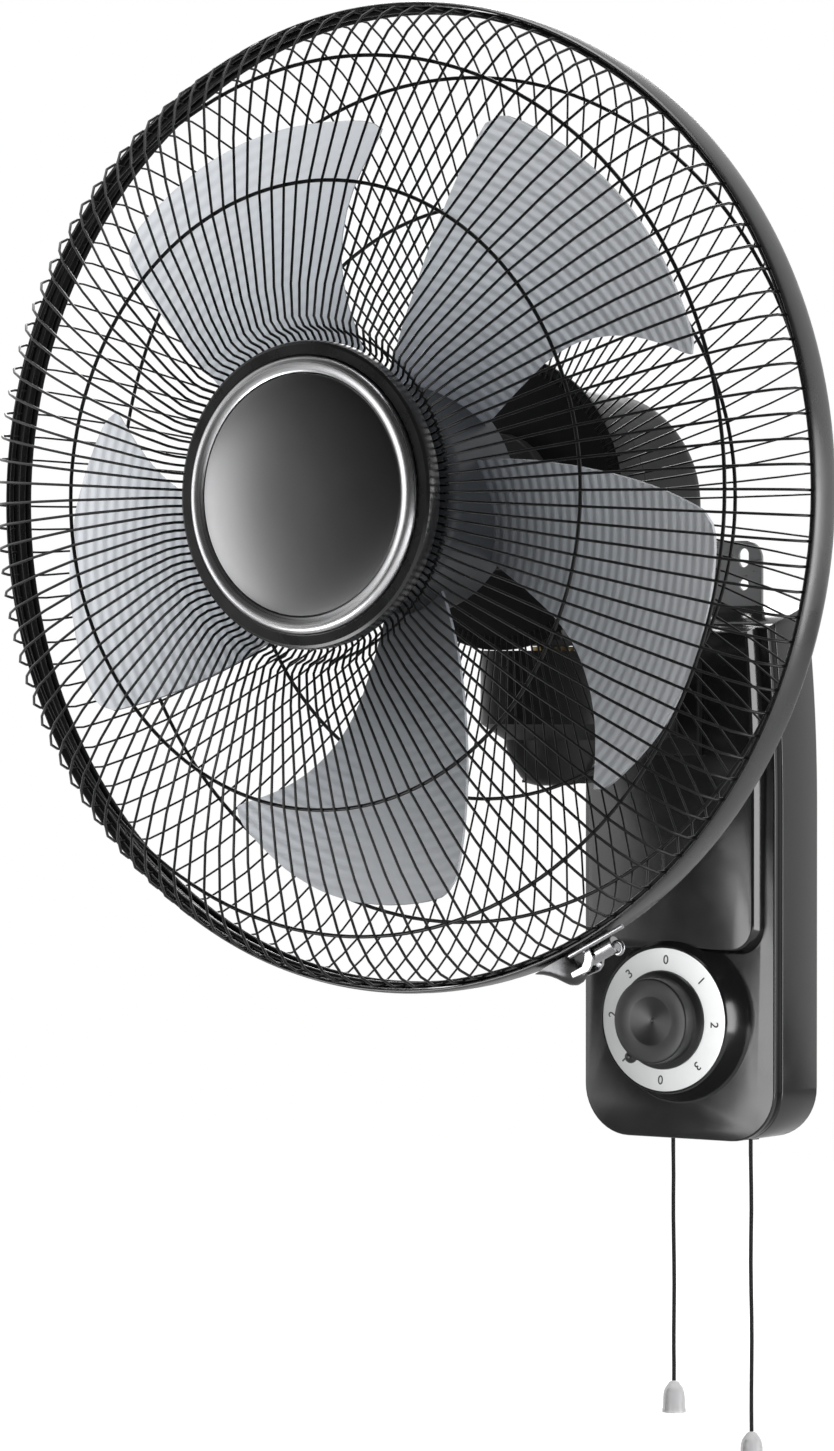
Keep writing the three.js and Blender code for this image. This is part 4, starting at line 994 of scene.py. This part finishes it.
# profiles are [radius, distance forward of the rim's plane]; every other face of the rear's end between
# the two radii in vents is sunk
motor = {
    "front": [
        (52, -117.6), (52, -86), (51.6, -83.4), (50.4, -81), (48.6, -79.5), (46.4, -79), (19, -79),
        (19, -68.5), (18.4, -68), (6, -68), (6, -80), (45, -81.2), (49, -84), (49.8, -87), (49.8, -117.6)],
    "rear": [
        (0, -175), (8, -175), (16, -174.9), (24, -174.6), (32, -174), (38, -173.1), (43, -171.6),
        (46.8, -169.4), (49.6, -166.4), (51.3, -162.8), (52, -158.6), (52, -152), (52, -117.9),
        (49.8, -117.9), (49.8, -162), (46.4, -169), (40, -172.4), (0, -172.8)],
    "steps": 96, "vents": (17, 37), "ventBehind": 172.5, "ventRim": 0.45, "ventDepth": 1.2,
}
# the cup's rows are [height, radius]; armSide and armFront are the neck's arm above it
neck = {
    "cup": [(43, 8), (44, 12), (47, 15), (51, 17.5), (57, 20.5), (64, 22.3), (66.4, 24), (67, 33), (104, 33)],
    "armSide": 17, "armFront": 34,
}


def isVent(face):
    middle = face.calc_center_median() - ringCentre
    out = math.hypot(middle.x, middle.z) / mm
    share = (math.atan2(middle.z, middle.x) + math.pi) / math.tau
    inner, outer = motor["vents"]
    behind = face.normal.y > 0 and middle.y > motor["ventBehind"] * mm
    return behind and inner < out < outer and int(share * motor["steps"]) % 2


def makeMotor():
    steps = motor["steps"]
    turnedPiece(
        "motorFront", closedProfile(motor["front"]), ringCentre, fanAxis, "head", motorPaint,
        ("motor_front_cover",), steps=steps)
    bm = turnedMesh(motor["rear"], ringCentre, fanAxis, steps)
    bmesh.ops.inset_individual(
        bm, faces=[face for face in bm.faces if isVent(face)], thickness=motor["ventRim"] * mm,
        depth=-motor["ventDepth"] * mm)
    addPiece("motorRear", bm, "head", motorPaint, ("motor_rear_cover",), sharp=35)


def narrowCup(bm):
    # the cup is slimmer than the neck above it; the arm's own sides stay
    swingAxis = jointPlace["head_swing"][1]
    for vertex in bm.verts:
        forward = vertex.co.y - swingAxis
        radius = math.hypot(vertex.co.x, forward)
        allowed = between(neck["cup"], vertex.co.z / mm) * mm
        onArm = abs(abs(vertex.co.x) - neck["armSide"] * mm) < 0.2 * mm and forward > -1 * mm
        if radius > allowed and forward < neck["armFront"] * mm and not onArm:
            vertex.co.x *= allowed / radius
            vertex.co.y = forward * allowed / radius + swingAxis


# the horn's rows are [along the rim, height, half width]; the flange's corners and the hook's points are
# [along the rim, height], each of the flanges is [back, front], and barrel and rod are places along the rim
latch = {
    "angle": -63, "band": 215.6, "hornArch": 14,
    "horn": (
        (-27, 0.5, 5), (-24.5, 2, 5.7), (-21.5, 4.3, 6.3), (-18.8, 7, 6.6), (-16.6, 9.7, 6.6),
        (-15, 11.3, 6.5), (-12.5, 12.4, 6.3), (-9.8, 12.3, 6), (-7.8, 11.4, 5.7), (-6.6, 10, 5.3),
        (-6, 8.6, 5)),
    "flange": [
        (-10.5, 7), (-10.5, 9.6), (-2, 10.4), (0.5, 9), (3, 5.6), (3, 1.4), (0.4, 1.4), (-1.6, 5), (-4, 7)],
    "flanges": ((-5, -3.6), (3.6, 5)),
    "barrel": (-1.4, -1, 6, 12.6, 13), "barrelHeight": 4.4, "barrelRadius": 3.7,
    "hook": ((6, 1.3), (10, 2.6)), "hookRadius": 0.9, "loopCentre": (13.2, 6.6), "loopRadius": 2.6,
    "rod": (-6, 0, 9, 18, 24), "rodHeight": 1.2, "rodForward": 7.6, "rodRadius": 1.1,
}


def atLatch(along, above, forward):
    # along the rim, above the band and forward of the rim's middle
    turn = math.radians(latch["angle"])
    out, rim = Vector((math.cos(turn), 0, math.sin(turn))), Vector((-math.sin(turn), 0, math.cos(turn)))
    return ringCentre + (out * (latch["band"] + above) + rim * along + fanAxis * forward) * mm


def latchPiece(name, bm, material, replaced=(), sharp=30):
    cleanNormals(bm)
    return addPiece(name, bm, "head", material, replaced, sharp)


def makeHorn():
    bm = bmesh.new()
    turns = [math.pi * i / latch["hornArch"] for i in range(latch["hornArch"] + 1)]
    rows = []
    for along, high, wide in latch["horn"]:
        arch = [
            bm.verts.new(atLatch(along, high * math.sin(turn) ** 0.8 - 0.2, wide * math.cos(turn)))
            for turn in turns]
        rows.append([bm.edges.new(pair) for pair in zip(arch, arch[1:] + arch[:1])])
    for first, second in zip(rows, rows[1:]):
        bmesh.ops.bridge_loops(bm, edges=first + second)
    for end in (rows[0], rows[-1]):
        bmesh.ops.contextual_create(bm, geom=end)
    softEdges(latchPiece("rimLatch", bm, latchMetal, ("rim_latch",)), 0.4)


def makeFlanges():
    bm = bmesh.new()
    for back, front in latch["flanges"]:
        corners = [bm.verts.new(atLatch(along, above, back)) for along, above in latch["flange"]]
        made = bmesh.ops.extrude_face_region(bm, geom=[bm.faces.new(corners)])["geom"]
        bmesh.ops.translate(bm, vec=fanAxis * (front - back) * mm, verts=newVerts(made))
    softEdges(latchPiece("latchFlange", bm, polishedPin), 0.3, 2)


def makeLatchScrew():
    bm = bmesh.new()
    path = [atLatch(along, latch["barrelHeight"], 0) for along in latch["barrel"]]
    sweepTube(bm, path, latch["barrelRadius"] * mm, 32)
    softEdges(latchPiece("latchScrew", bm, polishedPin, ("latch_screw",)), 0.5)


def makeLatchHook():
    # a wire that ends in a loop, and the straight rod beside it
    bm = bmesh.new()
    (along, above), loop = latch["loopCentre"], latch["loopRadius"]
    path = [atLatch(*point, 0) for point in latch["hook"]]
    for angle in range(-40, 221, 20):
        turn = math.radians(angle)
        path.append(atLatch(along + loop * math.sin(turn), above - loop * math.cos(turn), 0))
    sweepTube(bm, path, latch["hookRadius"] * mm, 12)
    path = [atLatch(along, latch["rodHeight"], latch["rodForward"]) for along in latch["rod"]]
    sweepTube(bm, path, latch["rodRadius"] * mm, 12)
    latchPiece("latchHook", bm, polishedPin, sharp=50)


makeMotor()
makeHorn()
makeFlanges()
makeLatchScrew()
makeLatchHook()
softened("neck_arm", "neck", neckGloss, 1.4, narrowCup)
for node, body, material, slot, width in (
    ("tilt_bracket", "wall_unit", neckGloss, "neck_black", 0.8),
    ("swivel_bracket", "head", mattBlack, "matte_black", 0.8),
    ("swing_link", "link", zincPlate, "zinc_steel", 0.3),
    ("swing_crank", "crank", zincPlate, "zinc_steel", 0.3),
    ("link_pin", "neck", zincPlate, "zinc_steel", 0.3),
    ("tilt_bolt", "neck", zincPlate, "zinc_steel", 0.4),
    ("tilt_nut", "neck", zincPlate, "zinc_steel", 0.4),
    ("guard_nut", "head", mattBlack, "matte_black", 0.8),
):
    softened(node, body, material, width)
print("motor and neck are made")


for material, nodes in (
    (zincPlate, ["cover_screw_1", "cover_screw_2", "cover_screw_3", "cover_screw_4", "knob_spindle",
                 "motor_shaft", "front_bearing", "rear_bearing"]),
    (mattBlack, ["speed_switch", "speed_eyelet", "swing_eyelet", "speed_pull_switch", "swing_pull_switch",
                 "inlet_grommet", "gear_case"]),
    (whiteMould, ["speed_stem", "swing_stem", "run_capacitor", "terminal_block"]),
    (softBrass, ["swivel_bush", "crank_gear"]),
    (steelStack, ["stator", "rotor_core", "rear_endshield"]),
):
    for node in nodes:
        dress(node, material)
print("the rest is dressed")
